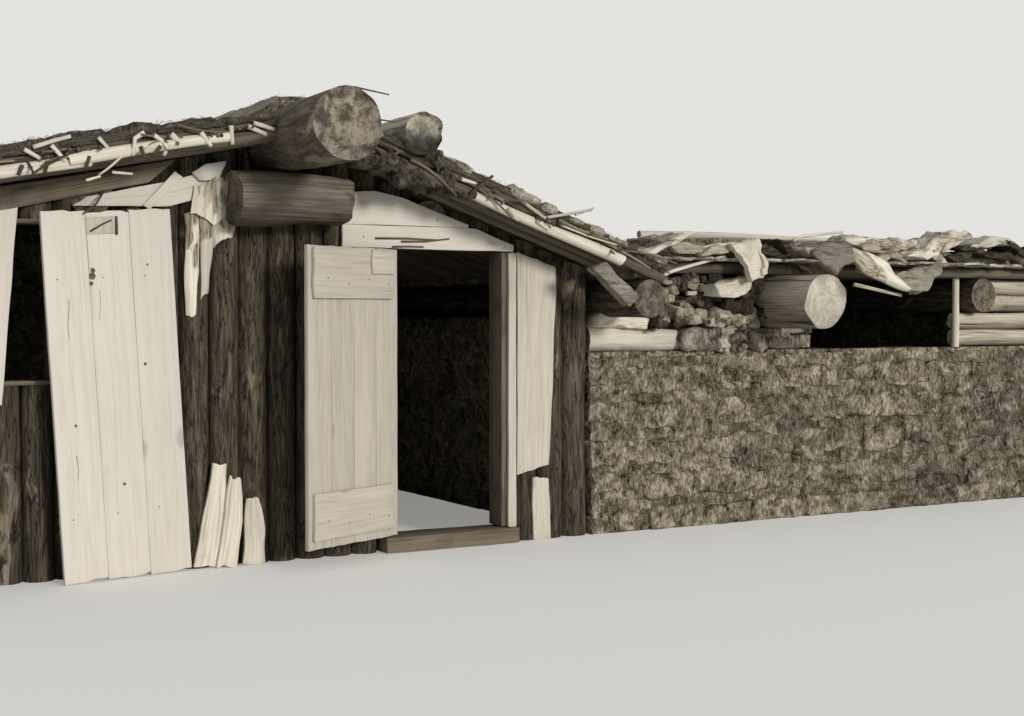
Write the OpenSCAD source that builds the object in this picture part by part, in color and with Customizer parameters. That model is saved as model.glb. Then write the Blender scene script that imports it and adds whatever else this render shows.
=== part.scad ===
// Turf house: a low gabled room of turf and logs, with a lower flat-roofed wing on its right.
// Sizes are in millimetres. The origin is the middle of the doorway on the ground,
// +X runs right along the front, +Y into the house and +Z up.

/* [Doorway and door] */
// Clear width of the doorway
door_w = 740; // [700:10:860]
// Clear height of the doorway above the ground
door_h = 1860; // [1800:10:1900]
// Width of each door post, seen from the front
post_w = 100; // [80:5:140]
// Depth of the door posts, lintel and sill, front to back
frame_d = 170; // [120:5:220]
// Height of the hewn sill log
sill_h = 100; // [60:5:110]
// How far the sill reaches out in front of the posts
sill_step = 70; // [40:5:120]
// Height of the lintel
lintel_h = 60; // [45:5:65]
// Thickness of the door's planks
door_t = 30; // [22:1:40]
// Number of planks in the door
door_planks_n = 4; // [3:1:6]
// Open joint between two door planks
plank_joint = 2; // [1:0.5:4]
// How far the closed door laps over each post
door_lap = 26; // [15:1:40]
// Height of the door's lower edge above the ground
door_low = 120; // [115:5:160]
// Angle by which the door stands open
door_open = 155; // [120:1:165]
// Thickness of the door's ledges
ledge_t = 24; // [18:1:35]
// Height of the upper ledge
ledge_top_h = 300; // [150:10:340]
// Height of the lower ledge
ledge_low_h = 270; // [150:10:340]
// Radius of the hinge pins
pin_r = 7; // [5:0.5:9]
// Running clearance round a hinge pin
pin_gap = 0.3; // [0.2:0.1:0.6]
// Wall of the rolled eye at the end of a strap
eye_wall = 5; // [3:0.5:7]
// Height of a hinge eye and its strap
strap_h = 50; // [35:5:70]
// Thickness of a strap
strap_t = 5; // [3:0.5:6]
// Length of a strap over the door
strap_len = 560; // [300:10:700]

/* [Main room] */
// Outer face of the left turf wall, left of the doorway's middle
left_run = 3550; // [3450:10:3900]
// Outer face of the right turf wall, right of the doorway's middle
right_run = 1750; // [1700:10:1850]
// Depth of the main room, outside
room_depth = 4600; // [4200:20:5200]
// Thickness of the left and rear turf walls at the foot
turf_t = 600; // [500:10:680]
// Thickness of the right turf wall, which the two roofs share
shared_t = 700; // [680:10:760]
// Height of one course of turf
course_h = 120; // [90:5:150]
// Inward lean of a turf wall's outer face over its height
batter = 70; // [30:5:110]
// Step between one course of turf and the next
course_step = 14; // [6:1:20]

/* [Main roof] */
// Ridge line, left of the doorway's middle
ridge_left = 1120; // [1100:5:1140]
// Rise from the lintel's top to the point over the ridge line where the right poles' undersides would meet it
roof_rise = 590; // [585:5:640]
// How much lower the left poles' undersides would meet the ridge line
left_sink = 45; // [30:5:60]
// Slope of the left side of the roof, in degrees
left_pitch = 11.2; // [10.6:0.1:11.6]
// Slope of the right side of the roof, in degrees
right_pitch = 19.3; // [19:0.1:19.8]
// How far the roof reaches out past the left wall
left_eave = 180; // [120:10:260]
// Run of the right side of the roof from the ridge, level
right_reach = 2420; // [2380:10:2440]
// How far the roof reaches out past the front
front_over = 450; // [380:10:520]
// How far the roof reaches out past the rear wall
rear_over = 280; // [200:10:400]
// Radius of the ridge log at its front end
ridge_r1 = 195; // [175:5:205]
// Radius of the ridge log at its rear end
ridge_r2 = 150; // [130:5:165]
// How far the ridge log's middle lies under the point where the right poles would meet the ridge line
ridge_drop = 40; // [35:5:60]
// How far the ridge log reaches out in front of the house
ridge_out = 1000; // [800:20:1200]
// Radius of a roof pole
pole_r = 38; // [32:1:45]
// Number of roof poles on each side
pole_n = 27; // [20:1:32]
// Thickness of the brush laid on the poles
brush_t = 40; // [30:5:55]
// Greatest thickness of the sod on the left slope
left_sod_t = 85; // [75:5:120]
// Greatest thickness of the sod on the right slope
right_sod_t = 75; // [70:5:100]
// Thickness of the sod beside the ridge
sod_ridge_t = 35; // [20:5:50]
// Thickness of the sod at the eaves
sod_eave_t = 50; // [40:5:65]
// Thickness of the sod heaped on the ridge log
ridge_cover = 60; // [45:5:90]
// Radius of the side log at its front end
side_r1 = 120; // [105:5:135]
// Radius of the side log at its rear end
side_r2 = 105; // [90:5:120]
// Distance of the side log from the ridge line, down the slope
side_run = 660; // [640:10:780]
// Radius of the purlins and wall plates
plate_r = 120; // [100:5:130]
// Distance of the left purlin from the ridge line, down the slope
left_purlin_run = 1150; // [1000:10:1250]

/* [Front wall] */
// Number of upright logs left of the doorway
left_logs_n = 14; // [12:1:16]
// Number of upright logs right of the doorway
right_logs_n = 3; // [2:1:4]
// Gap between two upright logs
log_gap = 2; // [1:0.5:5]
// Radius of the header log under the ridge
header_r = 160; // [145:5:165]
// Length of the header log
header_len = 720; // [650:10:780]
// Height of the window's sill above the ground
window_low = 1100; // [1000:10:1200]
// Height of the window's head above the ground
window_top = 1950; // [1850:10:1980]
// Thickness of boards
board_t = 25; // [18:1:32]
// Width of the plank panel
panel_w = 760; // [680:10:800]
// Gap between the top of the plank panel and the roof poles
panel_drop = 125; // [100:5:200]
// Number of planks in the panel
panel_n = 3; // [2:1:5]
// Sideways lean of the panel, in degrees
panel_lean = 3.5; // [0:0.5:4]
// Angle by which the panel's left edge stands out, in degrees
panel_turn = 11; // [6:0.5:13]
// Width of the slanted board beside the window
slant_w = 120; // [90:5:140]
// Width of the widest board right of the doorway
jamb_w = 300; // [240:5:320]
// Gap between the roof poles and the left gable boards
left_gable_gap = 85; // [60:5:100]
// Gap between the roof poles and the right gable boards
right_gable_gap = 40; // [20:5:50]
// Height of the left gable boards
gable_h = 150; // [120:5:180]

/* [Wing] */
// Right end of the wing, right of the doorway's middle
wing_run = 5900; // [5800:20:6200]
// Depth of the wing, outside
wing_depth = 3400; // [3000:20:3800]
// How far the turf wall along the front stays under the head of the doorway
wing_wall_drop = 650; // [610:10:700]
// Left side of the gap in the wing's front
gap_left = 3100; // [3050:10:3200]
// Length of the log panel between the gap and the right wall
log_panel_run = 820; // [760:10:880]
// Height from that wall to the top of the logs that carry the wing's roof
wing_gap_h = 530; // [510:5:550]
// Radius of the wing's big log at its front end
wing_log_r1 = 190; // [170:5:200]
// Radius of the wing's big log at its rear end
wing_log_r2 = 160; // [140:5:170]
// Place of the wing's big log, right of the doorway's middle
wing_log_x = 2660; // [2600:10:2760]
// How far the wing's big log reaches out in front
wing_log_out = 500; // [400:10:600]
// Radius of the wing's other bearing logs
bearer_r = 130; // [110:5:135]
// Radius of the wing's roof poles
wing_pole_r = 40; // [32:1:45]
// Number of the wing's roof poles
wing_pole_n = 19; // [12:1:24]
// How far the wing's roof reaches out past its walls
wing_over = 120; // [80:5:150]
// Length of the log on top of the wing's front wall
cap_len = 980; // [900:10:1040]
// Radius of that log at its left end
cap_r1 = 95; // [80:5:100]
// Radius of that log at its right end
cap_r2 = 70; // [60:5:80]
// Thickness of the bark slabs on the wing
slab_t = 30; // [20:1:40]
// Thickness of the sod on the wing
wing_sod_t = 100; // [70:5:130]

/* [Hidden] */
$fn = 40;
// Gap left where a round log seats on or against another piece
seat = 0.3;

// Places of the doorway and door
post_in = door_w / 2;
post_out = post_in + post_w;
leaf_w = door_w + 2 * door_lap;
leaf_top = door_h - 8;
eye_r = pin_r + pin_gap + eye_wall;
// The hinge line stands in front of the left post
leaf_clear = 5;
hinge_edge = 16;
hinge_x = -post_in - door_lap - hinge_edge;
hinge_y = -leaf_clear - door_t - eye_r;
leaf_face = eye_r;
leaf_back = leaf_face + door_t;
eye_low_z = 420;
eye_high_z = 1500;

// The two slopes of the main roof
ridge_x = -ridge_left;
apex_z = door_h + lintel_h + roof_rise;
left_apex_z = apex_z - left_sink;
ridge_log_z = apex_z - ridge_drop;
roof_front = -front_over;
roof_back = room_depth + rear_over;
roof_len = roof_back - roof_front;
// Rear ends of the plates and purlins
beam_back = roof_back - 40;
left_len = (left_run + left_eave - ridge_left) / cos(left_pitch);
right_len = right_reach / cos(right_pitch);
layer_brush = 2 * pole_r + seat;
layer_sod = layer_brush + brush_t + seat;
side_z = layer_sod + side_r1;
function pitch(left) = left ? left_pitch : right_pitch;
function slope_len(left) = left ? left_len : right_len;
function slope_apex(left) = left ? left_apex_z : apex_z;
function under(x) = x < ridge_x ? left_apex_z - (ridge_x - x) * tan(left_pitch)
                                : apex_z - (x - ridge_x) * tan(right_pitch);
// Radius of the ridge log at a distance y from the front of the house
ridge_front = -ridge_out;
ridge_back = roof_back + 60;
function ridge_r(y) = ridge_r1 + (ridge_r2 - ridge_r1) * (y - ridge_front) / (ridge_back - ridge_front);
// Where a layer starting at height z over the pole line meets the ridge log
function butt(left, y, z) =
    let(lift = ridge_log_z - slope_apex(left),
        rise = max(0, z - lift * cos(pitch(left))),
        r = ridge_r(y) + seat)
    (rise < r ? sqrt(r * r - rise * rise) : 0) - lift * sin(pitch(left));

// Plates and purlins lie just under the pole line
plate_drop = plate_r + seat;
left_plate_run = (left_run - turf_t / 2 - ridge_left) / cos(left_pitch);
right_plate_x = right_run - shared_t + plate_r + 90;
right_plate_run = (right_plate_x + ridge_left) / cos(right_pitch);
// A point of a slope in the plane of the front: x down the slope, z up from the pole line
function slope_point(left, x, z) =
    let(a = pitch(left))
    [ridge_x + (left ? -1 : 1) * (x * cos(a) + z * sin(a)), slope_apex(left) - x * sin(a) + z * cos(a)];
// The right purlin lies on the lintel
lintel_top = door_h + lintel_h;
right_purlin_run = (apex_z - lintel_top - plate_drop - plate_drop * cos(right_pitch)) / sin(right_pitch);
left_plate = slope_point(true, left_plate_run, -plate_drop);
right_plate = slope_point(false, right_plate_run, -plate_drop);
left_purlin = slope_point(true, left_purlin_run, -plate_drop);
right_purlin = slope_point(false, right_purlin_run, -plate_drop);
left_top = left_plate[1] - plate_r - seat;
shared_top = right_plate[1] - plate_r - seat;
turf_in_left = -left_run + turf_t;
turf_in_right = right_run - shared_t;
rear_in = room_depth - turf_t;
wing_rear_in = wing_depth - turf_t;

// Shared helpers

// A round log along +Y from y0 to y1
module log_y(x, z, y0, y1, r1, r2) {
    translate([x, y0, z]) rotate([-90, 0, 0]) cylinder(h = y1 - y0, r1 = r1, r2 = r2);
}

// A round log along +X from x0 to x1
module log_x(y, z, x0, x1, r1, r2) {
    translate([x0, y, z]) rotate([0, 90, 0]) cylinder(h = x1 - x0, r1 = r1, r2 = r2);
}

// Places children on a slope: x down the slope from the ridge line, y as it is, z up from the pole line
module on_slope(left) {
    translate([ridge_x, 0, slope_apex(left)])
        if (left) mirror([1, 0, 0]) rotate([0, left_pitch, 0]) children();
        else rotate([0, right_pitch, 0]) children();
}

// The space under the roof poles, as a prism along Y
module under_roof(y0, y1, drop) {
    translate([0, y1, 0]) rotate([90, 0, 0]) linear_extrude(y1 - y0)
        polygon([[-left_run - 400, -10], [right_run + 400, -10],
                 [right_run + 400, under(right_run + 400) - drop],
                 [ridge_x, apex_z - drop], [ridge_x, left_apex_z - drop],
                 [-left_run - 400, under(-left_run - 400) - drop]]);
}

// Outline of a turf wall: a plain inner face, and an outer face that leans in by stepped courses
function turf_profile(t, h) =
    let(n = ceil(h / course_h))
    concat([[0, 0], [0, h]],
           [for (i = [n - 1:-1:0], top = [1, 0])
               [t - batter * i / n - (i % 2) * course_step, min(h, (i + top) * course_h)]]);

// A turf wall along Y whose outer face looks to +X
module turf_y(x_in, y0, y1, t, h) {
    translate([x_in, y1, 0]) rotate([90, 0, 0]) linear_extrude(y1 - y0) polygon(turf_profile(t, h));
}

// A turf wall along X whose outer face looks to +Y
module turf_x(y_in, x0, x1, t, h) {
    translate([x0, y_in, 0]) rotate([90, 0, 90]) linear_extrude(x1 - x0) polygon(turf_profile(t, h));
}

// A slot for a log along Y, open at the top
module log_slot(x, z, y0, y1, r) {
    log_y(x, z, y0, y1, r, r);
    translate([x - r, y0, z]) cube([2 * r, y1 - y0, apex_z]);
}

// A tapering log along +Y whose top line is level
module level_log_y(x, top, y0, y1, r1, r2) {
    tilt = atan((r1 - r2) / (y1 - y0));
    translate([x, y0, top - r1 * cos(tilt)]) rotate([tilt - 90, 0, 0]) cylinder(h = y1 - y0, r1 = r1, r2 = r2);
}

// A tapering log along +X whose bottom line is level
module level_log_x(y, low, x0, x1, r1, r2) {
    tilt = atan((r1 - r2) / (x1 - x0));
    translate([x0, y, low + r1 * cos(tilt)]) rotate([0, 90 + tilt, 0]) cylinder(h = x1 - x0, r1 = r1, r2 = r2);
}

// Doorway and door

module sill_log() {
    color("dimgray")
        translate([-post_out, -sill_step, 0]) cube([2 * post_out, sill_step + frame_d, sill_h]);
}

module door_posts() {
    color("dimgray")
        for (side = [-1, 1])
            translate([side * (post_in + post_w / 2) - post_w / 2, 0, sill_h])
                cube([post_w, frame_d, door_h - sill_h]);
}

module door_lintel() {
    color("dimgray")
        translate([-post_out, 0, door_h]) cube([2 * post_out, frame_d, lintel_h]);
}

// The door's own frame: the hinge line at the origin, the closed door along +X
module on_door() {
    translate([hinge_x, hinge_y, 0]) rotate([0, 0, -door_open]) children();
}

module door_planks() {
    pitch = leaf_w / door_planks_n;
    color("lightgray")
        on_door()
            for (i = [0:door_planks_n - 1])
                translate([hinge_edge + i * pitch, leaf_face, door_low])
                    cube([pitch - plank_joint, door_t, leaf_top - door_low]);
}

module door_ledges() {
    inset = door_lap + 20;
    ledge_w = leaf_w - 2 * inset;
    patch_w = 210;
    patch_h = 140;
    color("gainsboro")
        on_door() {
            translate([hinge_edge + inset, leaf_back, leaf_top - ledge_top_h])
                cube([ledge_w, ledge_t, ledge_top_h - 12]);
            translate([hinge_edge + inset, leaf_back, door_low + 50])
                cube([ledge_w, ledge_t, ledge_low_h]);
            translate([hinge_edge + inset, leaf_back + ledge_t, leaf_top - 12 - patch_h])
                cube([patch_w, 14, patch_h]);
        }
}

module door_straps() {
    color("darkslategray")
        on_door()
            for (z = [eye_low_z, eye_high_z])
                translate([0, 0, z])
                    difference() {
                        union() {
                            cylinder(h = strap_h, r = eye_r);
                            translate([0, leaf_face - strap_t, 0])
                                cube([hinge_edge + strap_len, strap_t, strap_h]);
                        }
                        translate([0, 0, -1]) cylinder(h = strap_h + 2, r = pin_r + pin_gap);
                    }
}

module hinge_pintles() {
    arm_h = 18;
    arm_w = 2 * pin_r;
    plate_w = 60;
    plate_h = 130;
    plate_t = 4;
    color("darkslategray")
        for (z = [eye_low_z, eye_high_z])
            translate([hinge_x, hinge_y, z]) {
                translate([0, 0, -seat - arm_h]) cylinder(h = strap_h + arm_h + seat + 6, r = pin_r);
                translate([-arm_w / 2, 0, -seat - arm_h]) cube([arm_w, -hinge_y, arm_h]);
                translate([pin_r - plate_w, -hinge_y - plate_t, -seat - arm_h - plate_h / 2])
                    cube([plate_w, plate_t, plate_h]);
            }
}

// Front wall

// A row of upright logs from x0 to x1, cut off under the roof and notched for the logs that lie on them
module upright_logs(x0, x1, n, y, foot = 0) {
    pitch = (x1 - x0) / n;
    r = (pitch - log_gap) / 2;
    difference() {
        intersection() {
            for (i = [0:n - 1]) translate([x0 + (i + 0.5) * pitch, y, foot]) cylinder(h = apex_z, r = r);
            under_roof(y - r - 1, y + r + 1, roof_seat);
        }
        children();
    }
}

logs_y = 100;
left_logs_x0 = turf_in_left + 1;
left_logs_x1 = -post_out - 1;
left_pitch_x = (left_logs_x1 - left_logs_x0) / left_logs_n;
left_log_r = (left_pitch_x - log_gap) / 2;
window_x0 = left_logs_x0 + left_pitch_x;
window_x1 = window_x0 + 2 * left_pitch_x;
function left_log_x(i) = left_logs_x0 + (i + 0.5) * left_pitch_x;
right_logs_y = (turf_in_right - post_out - 2) / right_logs_n / 2 - log_gap / 2 + seat;
log_face = logs_y - left_log_r - seat;
// Vertical gap that leaves the seating gap between a cut top and the poles above it
roof_seat = 0.35;

// Room beside a beam in the notch that takes it
notch_gap = 4;

// A notch for a beam along Y, open at the top
module notch(x, z, r, y0, y1) {
    translate([x - r - notch_gap, y0, z - r - seat]) cube([2 * (r + notch_gap), y1 - y0, apex_z]);
}

module purlin_notches(y0, y1) {
    for (mid = [left_purlin, right_purlin]) notch(mid[0], mid[1], plate_r, y0, y1);
}

module beam_notches(y0, y1) {
    notch(ridge_x, ridge_log_z, ridge_r(y0), y0, y1);
    purlin_notches(y0, y1);
}

module left_front_logs() {
    color("dimgray")
        upright_logs(left_logs_x0, left_logs_x1, left_logs_n, logs_y) {
            translate([window_x0, logs_y - 2 * left_log_r, window_low - board_t])
                cube([window_x1 - window_x0, 4 * left_log_r, window_top - window_low + 2 * board_t]);
            beam_notches(logs_y - left_log_r - 5, logs_y + left_log_r + 5);
        }
}

module right_front_logs() {
    color("dimgray")
        upright_logs(post_out + 1, turf_in_right - 1, right_logs_n, right_logs_y);
}

module over_door_logs() {
    n = 6;
    color("dimgray")
        upright_logs(-post_out + 1, post_out - 1, n, frame_d / 2, door_h + lintel_h)
            purlin_notches(0, frame_d);
}

module window_frame() {
    w = window_x1 - window_x0 - 2;
    d = 2 * left_log_r;
    color("gray")
        translate([window_x0 + 1, logs_y - d / 2, window_low - board_t]) {
            cube([w, d, board_t]);
            translate([0, 0, window_top - window_low + board_t]) cube([w, d, board_t]);
            for (x = [0, w - board_t])
                translate([x, 0, board_t]) cube([board_t, d, window_top - window_low]);
        }
}

header_y = log_face - header_r;
header_z = ridge_log_z - ridge_r(header_y) - seat - header_r;

module header_log() {
    color("gray")
        log_x(header_y, header_z, ridge_x - header_len / 2, ridge_x + header_len / 2, header_r, header_r);
}

// A flat board with an outline in the plane of the front, its back face at y
module front_board(y, t, points) {
    translate([0, y, 0]) rotate([90, 0, 0]) linear_extrude(t) polygon(points);
}

// A point in the plane of the front, at a given drop under the poles
function gable_point(x, drop) = [x, under(x) - drop];

module left_gable_boards() {
    run = 1.68 * header_len;
    right_edge = ridge_x - header_len / 2 - 10;
    shape = [[1, 0.58], [0.56, 1.19], [0.545, 0.25], [0.934, 0.34]];
    function corner(i) = gable_point(ridge_x - run * shape[i][0], left_gable_gap + gable_h * shape[i][1]);
    color("whitesmoke")
        front_board(log_face, board_t,
                    [corner(0), corner(1), gable_point(right_edge, left_gable_gap + gable_h),
                     gable_point(right_edge, left_gable_gap), corner(2), corner(3)]);
}

module right_gable_boards() {
    left_edge = ridge_x + header_len / 2 + 20;
    span = post_out - left_edge;
    shape = [[0.983, 0], [0.711, 0.05], [0.319, 0.15], [0.174, 0.35], [0.055, 0.78], [0, 1.4]];
    color("whitesmoke")
        front_board(0, board_t, concat([[left_edge, door_h + 5], [left_edge + 0.94 * span, door_h]],
            [for (p = shape) gable_point(left_edge + p[0] * span, right_gable_gap + p[1] * gable_h)]));
}

module jamb_boards() {
    left_edge = post_in + door_lap + 12;
    gap = 4;
    shape = [[0.8, 0.26], [0.93, 0.63], [0.78, 0.76], [1, 0.86]];
    top_right = post_out + 0.97 * jamb_w;
    color("whitesmoke") {
        front_board(0, board_t, [[left_edge, sill_h], [post_out - gap / 2, sill_h],
                                 [post_out - gap / 2, leaf_top], [left_edge, leaf_top]]);
        front_board(0, board_t, concat([[post_out + gap, 0.23 * door_h]],
                                 [for (p = shape) [post_out + p[0] * jamb_w, p[1] * door_h]],
                                 [gable_point(top_right, 2 * right_gable_gap), [post_out + gap, door_h]]));
    }
}

// The leaning panel: its lower right corner at the origin, planks to the left
batten_t = 40;
batten_w = 90;
batten_in = 90;
batten_low = 350;
batten_run = batten_in + batten_low * sin(panel_lean);
panel_x = left_log_x(6) + batten_run * cos(panel_turn) + batten_t * sin(panel_turn);
panel_y = log_face + batten_run * sin(panel_turn) - batten_t * cos(panel_turn);
// The panel stops short of the roof poles over its upper left corner
panel_left = panel_x - panel_w - door_h * sin(panel_lean);
panel_h = under(panel_left) - panel_drop;

module on_panel() {
    intersection() {
        translate([panel_x, panel_y, 0]) rotate([0, 0, panel_turn]) rotate([0, -panel_lean, 0]) children();
        translate([-left_run, -panel_w, 0]) cube([left_run, 2 * panel_w, apex_z]);
    }
}

module plank_panel() {
    pitch = panel_w / panel_n;
    color("white")
        on_panel() {
            for (i = [0:panel_n - 1])
                translate([-(i + 1) * pitch, -board_t, -60])
                    cube([pitch - plank_joint, board_t, panel_h + 60 - 14 * (i % 2)]);
            for (z = [batten_low, 0.8 * panel_h])
                translate([20 - panel_w, 0, z]) cube([panel_w - 20 - batten_in, batten_t, batten_w]);
        }
}

module slanted_board() {
    color("whitesmoke")
        translate([window_x0 - slant_w / 2, log_face - board_t, window_low - slant_w]) rotate([0, 5, 0])
            cube([slant_w, board_t, window_top - window_low + 2 * slant_w]);
}

foot_slab_t = 30;
foot_slab_w = 140;
foot_slab_h = 620;

module foot_slabs() {
    color("gainsboro")
        for (i = [0:2])
            translate([panel_x + 12 + i * (foot_slab_w + 10) - 40 * (i % 2),
                       log_face - foot_slab_t * (1 + i % 2), 0])
                cube([foot_slab_w - 50 * (i % 2), foot_slab_t, foot_slab_h * (1 - 0.18 * i)]);
}

// Turf walls of the main room

module left_turf_wall() {
    color("darkolivegreen")
        mirror([1, 0, 0]) turf_y(-turf_in_left, 0, rear_in, turf_t, left_top);
}

module right_turf_wall() {
    color("darkolivegreen")
        translate([turf_in_right, turf_t, 0]) cube([shared_t, rear_in - turf_t, shared_top]);
}

module rear_turf_wall() {
    y0 = rear_in - 10;
    y1 = room_depth + 10;
    color("darkolivegreen")
        difference() {
            intersection() {
                turf_x(rear_in, -left_run, right_run, turf_t, apex_z);
                under_roof(y0, y1, roof_seat);
            }
            log_slot(ridge_x, ridge_log_z, y0, y1, ridge_r(y0) + seat);
            for (mid = [left_purlin, right_purlin, left_plate, right_plate])
                log_slot(mid[0], mid[1], y0, y1, plate_r + seat);
        }
}

// Logs that carry the main roof

module wall_plates() {
    color("gray") {
        for (mid = [left_plate, right_plate])
            log_y(mid[0], mid[1], roof_front + 20, beam_back, plate_r, plate_r);
    }
}

module purlins() {
    color("gray") {
        log_y(left_purlin[0], left_purlin[1], logs_y - left_log_r, beam_back, plate_r, plate_r);
        log_y(right_purlin[0], right_purlin[1], seat, beam_back, plate_r, plate_r);
    }
}

module ridge_log() {
    color("darkgray") log_y(ridge_x, ridge_log_z, ridge_front, ridge_back, ridge_r1, ridge_r2);
}

module side_log() {
    color("darkgray")
        on_slope(false) log_y(side_run, side_z, roof_front - 60, roof_back - 30, side_r1, side_r2);
}

// Roof poles, brush and sod

pole_pitch = roof_len / pole_n;
// How far the rake poles, the brush and the sod reach past the ends of the roof poles
rake_over = 30;
brush_over = 40;
sod_over = 10;
// Room between the sod and the ridge log
sod_clear = 8;

module slope_poles(left) {
    on_slope(left)
        for (i = [1:pole_n - 1]) {
            y = roof_front + i * pole_pitch;
            start = butt(left, y - pole_r, 0);
            ragged = 30 * ((i * 7) % 5) / 5;
            translate([start, y, pole_r]) rotate([0, 90, 0])
                cylinder(h = slope_len(left) - start - ragged, r = pole_r, $fn = 20);
        }
}

module left_poles() {
    color("gray") slope_poles(true);
}

module right_poles() {
    color("gray") slope_poles(false);
}

module rake_poles() {
    color("white")
        for (left = [true, false]) {
            start = butt(left, roof_front - pole_r, 0);
            on_slope(left)
                translate([start, roof_front + pole_r + 5, pole_r]) rotate([0, 90, 0])
                    cylinder(h = slope_len(left) - start + rake_over, r = pole_r);
        }
}

module roof_brush() {
    color("dimgray")
        for (left = [true, false]) {
            start = butt(left, roof_front, layer_brush);
            on_slope(left)
                translate([start, roof_front - 5, layer_brush])
                    cube([slope_len(left) + brush_over - start, roof_len + 20, brush_t]);
        }
}

// Outline of a sod layer down a slope: thin beside the ridge, thickest a third of the way down
sod_level = 300;
sod_ripple = 4;

function sod_top(x1, t) =
    [for (i = [14:-1:0])
        let(u = i / 14, base = sod_ridge_t + (sod_eave_t - sod_ridge_t) * u,
            heap = (t - (sod_ridge_t + sod_eave_t) / 2) * pow(sin(180 * pow(u, 0.6)), 2))
        [sod_level + (x1 - sod_level) * u, base + heap + sod_ripple * sin(900 * u)]];

module sod_sheet(left, t) {
    x0 = butt(left, sod_front, layer_sod) + sod_clear;
    x1 = slope_len(left) + sod_over;
    slope_prism() polygon(concat([[x0, 0], [x1, 0]], sod_top(x1, t), [[x0, sod_ridge_t]]));
}

module slope_prism() {
    translate([0, sod_back, layer_sod]) rotate([90, 0, 0]) linear_extrude(sod_back - sod_front) children();
}

sod_front = roof_front + 15;
sod_back = roof_back - 10;

module left_sod() {
    color("darkolivegreen")
        on_slope(true) sod_sheet(true, left_sod_t);
}

module right_sod() {
    color("darkolivegreen")
        on_slope(false)
            difference() {
                sod_sheet(false, right_sod_t);
                translate([side_run - side_r1 - 4, sod_front - 10, layer_sod - 5])
                    cube([2 * side_r1 + 8, sod_back - sod_front + 20, 2 * side_r1]);
            }
}

// Sod heaped over the ridge log behind the front edge of the roof
module ridge_sod() {
    reach = sod_level - 30;
    under_ridge = 20;
    low = layer_sod + sod_ridge_t + sod_ripple;
    left = slope_point(true, reach, low);
    right = slope_point(false, reach, low);
    top = ridge_log_z + ridge_r1 + ridge_cover;
    y0 = roof_front + 260;
    edge = 15;
    shoulder = [90, 70];
    half_top = 80;
    color("darkolivegreen")
        difference() {
            translate([0, sod_back, 0]) rotate([90, 0, 0]) linear_extrude(sod_back - y0)
                polygon([left, left + [0, edge], left + shoulder, [ridge_x - half_top, top], [ridge_x + half_top, top],
                         right + [-shoulder[0], shoulder[1]], right + [0, edge], right,
                         slope_point(false, under_ridge, low), slope_point(true, under_ridge, low)]);
            log_y(ridge_x, ridge_log_z, ridge_front, ridge_back, ridge_r1 + seat, ridge_r2 + seat);
        }
}

// Wing

wing_wall_h = door_h - wing_wall_drop;
bearer_top = wing_wall_h + wing_gap_h;
shared_bearer_x = right_run - bearer_r - 20;
shared_bearer_r = (bearer_top - shared_top - seat) / 2;
shared_bearer_z = bearer_top - shared_bearer_r;
wing_in_right = wing_run - turf_t;
far_bearer_x = wing_in_right + turf_t / 2;
gap_right = wing_in_right - log_panel_run;
mid_bearer_x = gap_right + bearer_r + 30;
wing_pole_z = bearer_top + seat + wing_pole_r;
wing_slab_z = wing_pole_z + wing_pole_r + seat;
wing_sod_z = wing_slab_z + slab_t + seat;
wing_front = -wing_over;
wing_end = wing_depth + wing_over;
wing_log_end = wing_end - 60;
// Radius of the big log at a distance y from the front of the house
function wing_log_r(y) =
    wing_log_r1 + (wing_log_r2 - wing_log_r1) * (y + wing_log_out) / (wing_log_end + wing_log_out);

module wing_front_wall() {
    color("darkolivegreen")
        translate([0, turf_t, 0]) mirror([0, 1, 0])
            turf_x(0, turf_in_right, wing_in_right, turf_t, wing_wall_h);
}

module wing_right_wall() {
    color("darkolivegreen")
        turf_y(wing_in_right, 0, wing_rear_in, turf_t, bearer_top - 2 * bearer_r - seat);
}

module wing_rear_wall() {
    y0 = wing_rear_in - 10;
    color("darkolivegreen")
        difference() {
            turf_x(wing_rear_in, right_run, wing_run, turf_t, bearer_top - 2 * bearer_r - seat);
            log_slot(wing_log_x, bearer_top - wing_log_r(y0), y0, wing_depth + 10, wing_log_r(y0) + seat);
        }
}

cap_y = 50 + cap_r1;

module wing_cap_log() {
    x0 = turf_in_right + 20;
    color("lightgray")
        level_log_x(cap_y, wing_wall_h + seat, x0, x0 + cap_len, cap_r1, cap_r2);
}

// Blocks of turf and wood heaped on the front wall, behind the log on top of it and beside the big log
block_gap = 10;
block_d = 320;

module wing_block(x0, x1, y0, top) {
    translate([x0, y0, wing_wall_h]) cube([x1 - x0 - block_gap, block_d, top - wing_wall_h]);
}

module wing_blocks() {
    log_left = wing_log_x - wing_log_r1 - block_gap;
    log_right = wing_log_x + wing_log_r1 + block_gap;
    x0 = turf_in_right + 60;
    tops = [0.86, 1, 0.93, 0.97];
    pitch = (log_left - x0) / len(tops);
    room = shared_top - seat - wing_wall_h;
    y0 = cap_y + cap_r1 + block_gap;
    y_log = 60;
    color("gray") {
        for (i = [0:len(tops) - 1])
            wing_block(x0 + i * pitch, x0 + (i + 1) * pitch, y0, wing_wall_h + room * tops[i]);
        wing_block(log_left, log_right - block_gap, y_log, bearer_top - 2 * wing_log_r(y_log) - seat);
        wing_block(log_right, gap_left, 2 * y_log, wing_wall_h + 1.4 * room);
    }
}

module wing_big_log() {
    color("whitesmoke")
        level_log_y(wing_log_x, bearer_top, -wing_log_out, wing_log_end, wing_log_r1, wing_log_r2);
}

module wing_bearers() {
    back = wing_end - 40;
    color("gray") {
        log_y(shared_bearer_x, shared_bearer_z, 120, back, shared_bearer_r, shared_bearer_r);
        for (x = [mid_bearer_x, far_bearer_x])
            log_y(x, bearer_top - bearer_r, wing_front / 2, back, bearer_r, bearer_r);
    }
}

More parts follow.
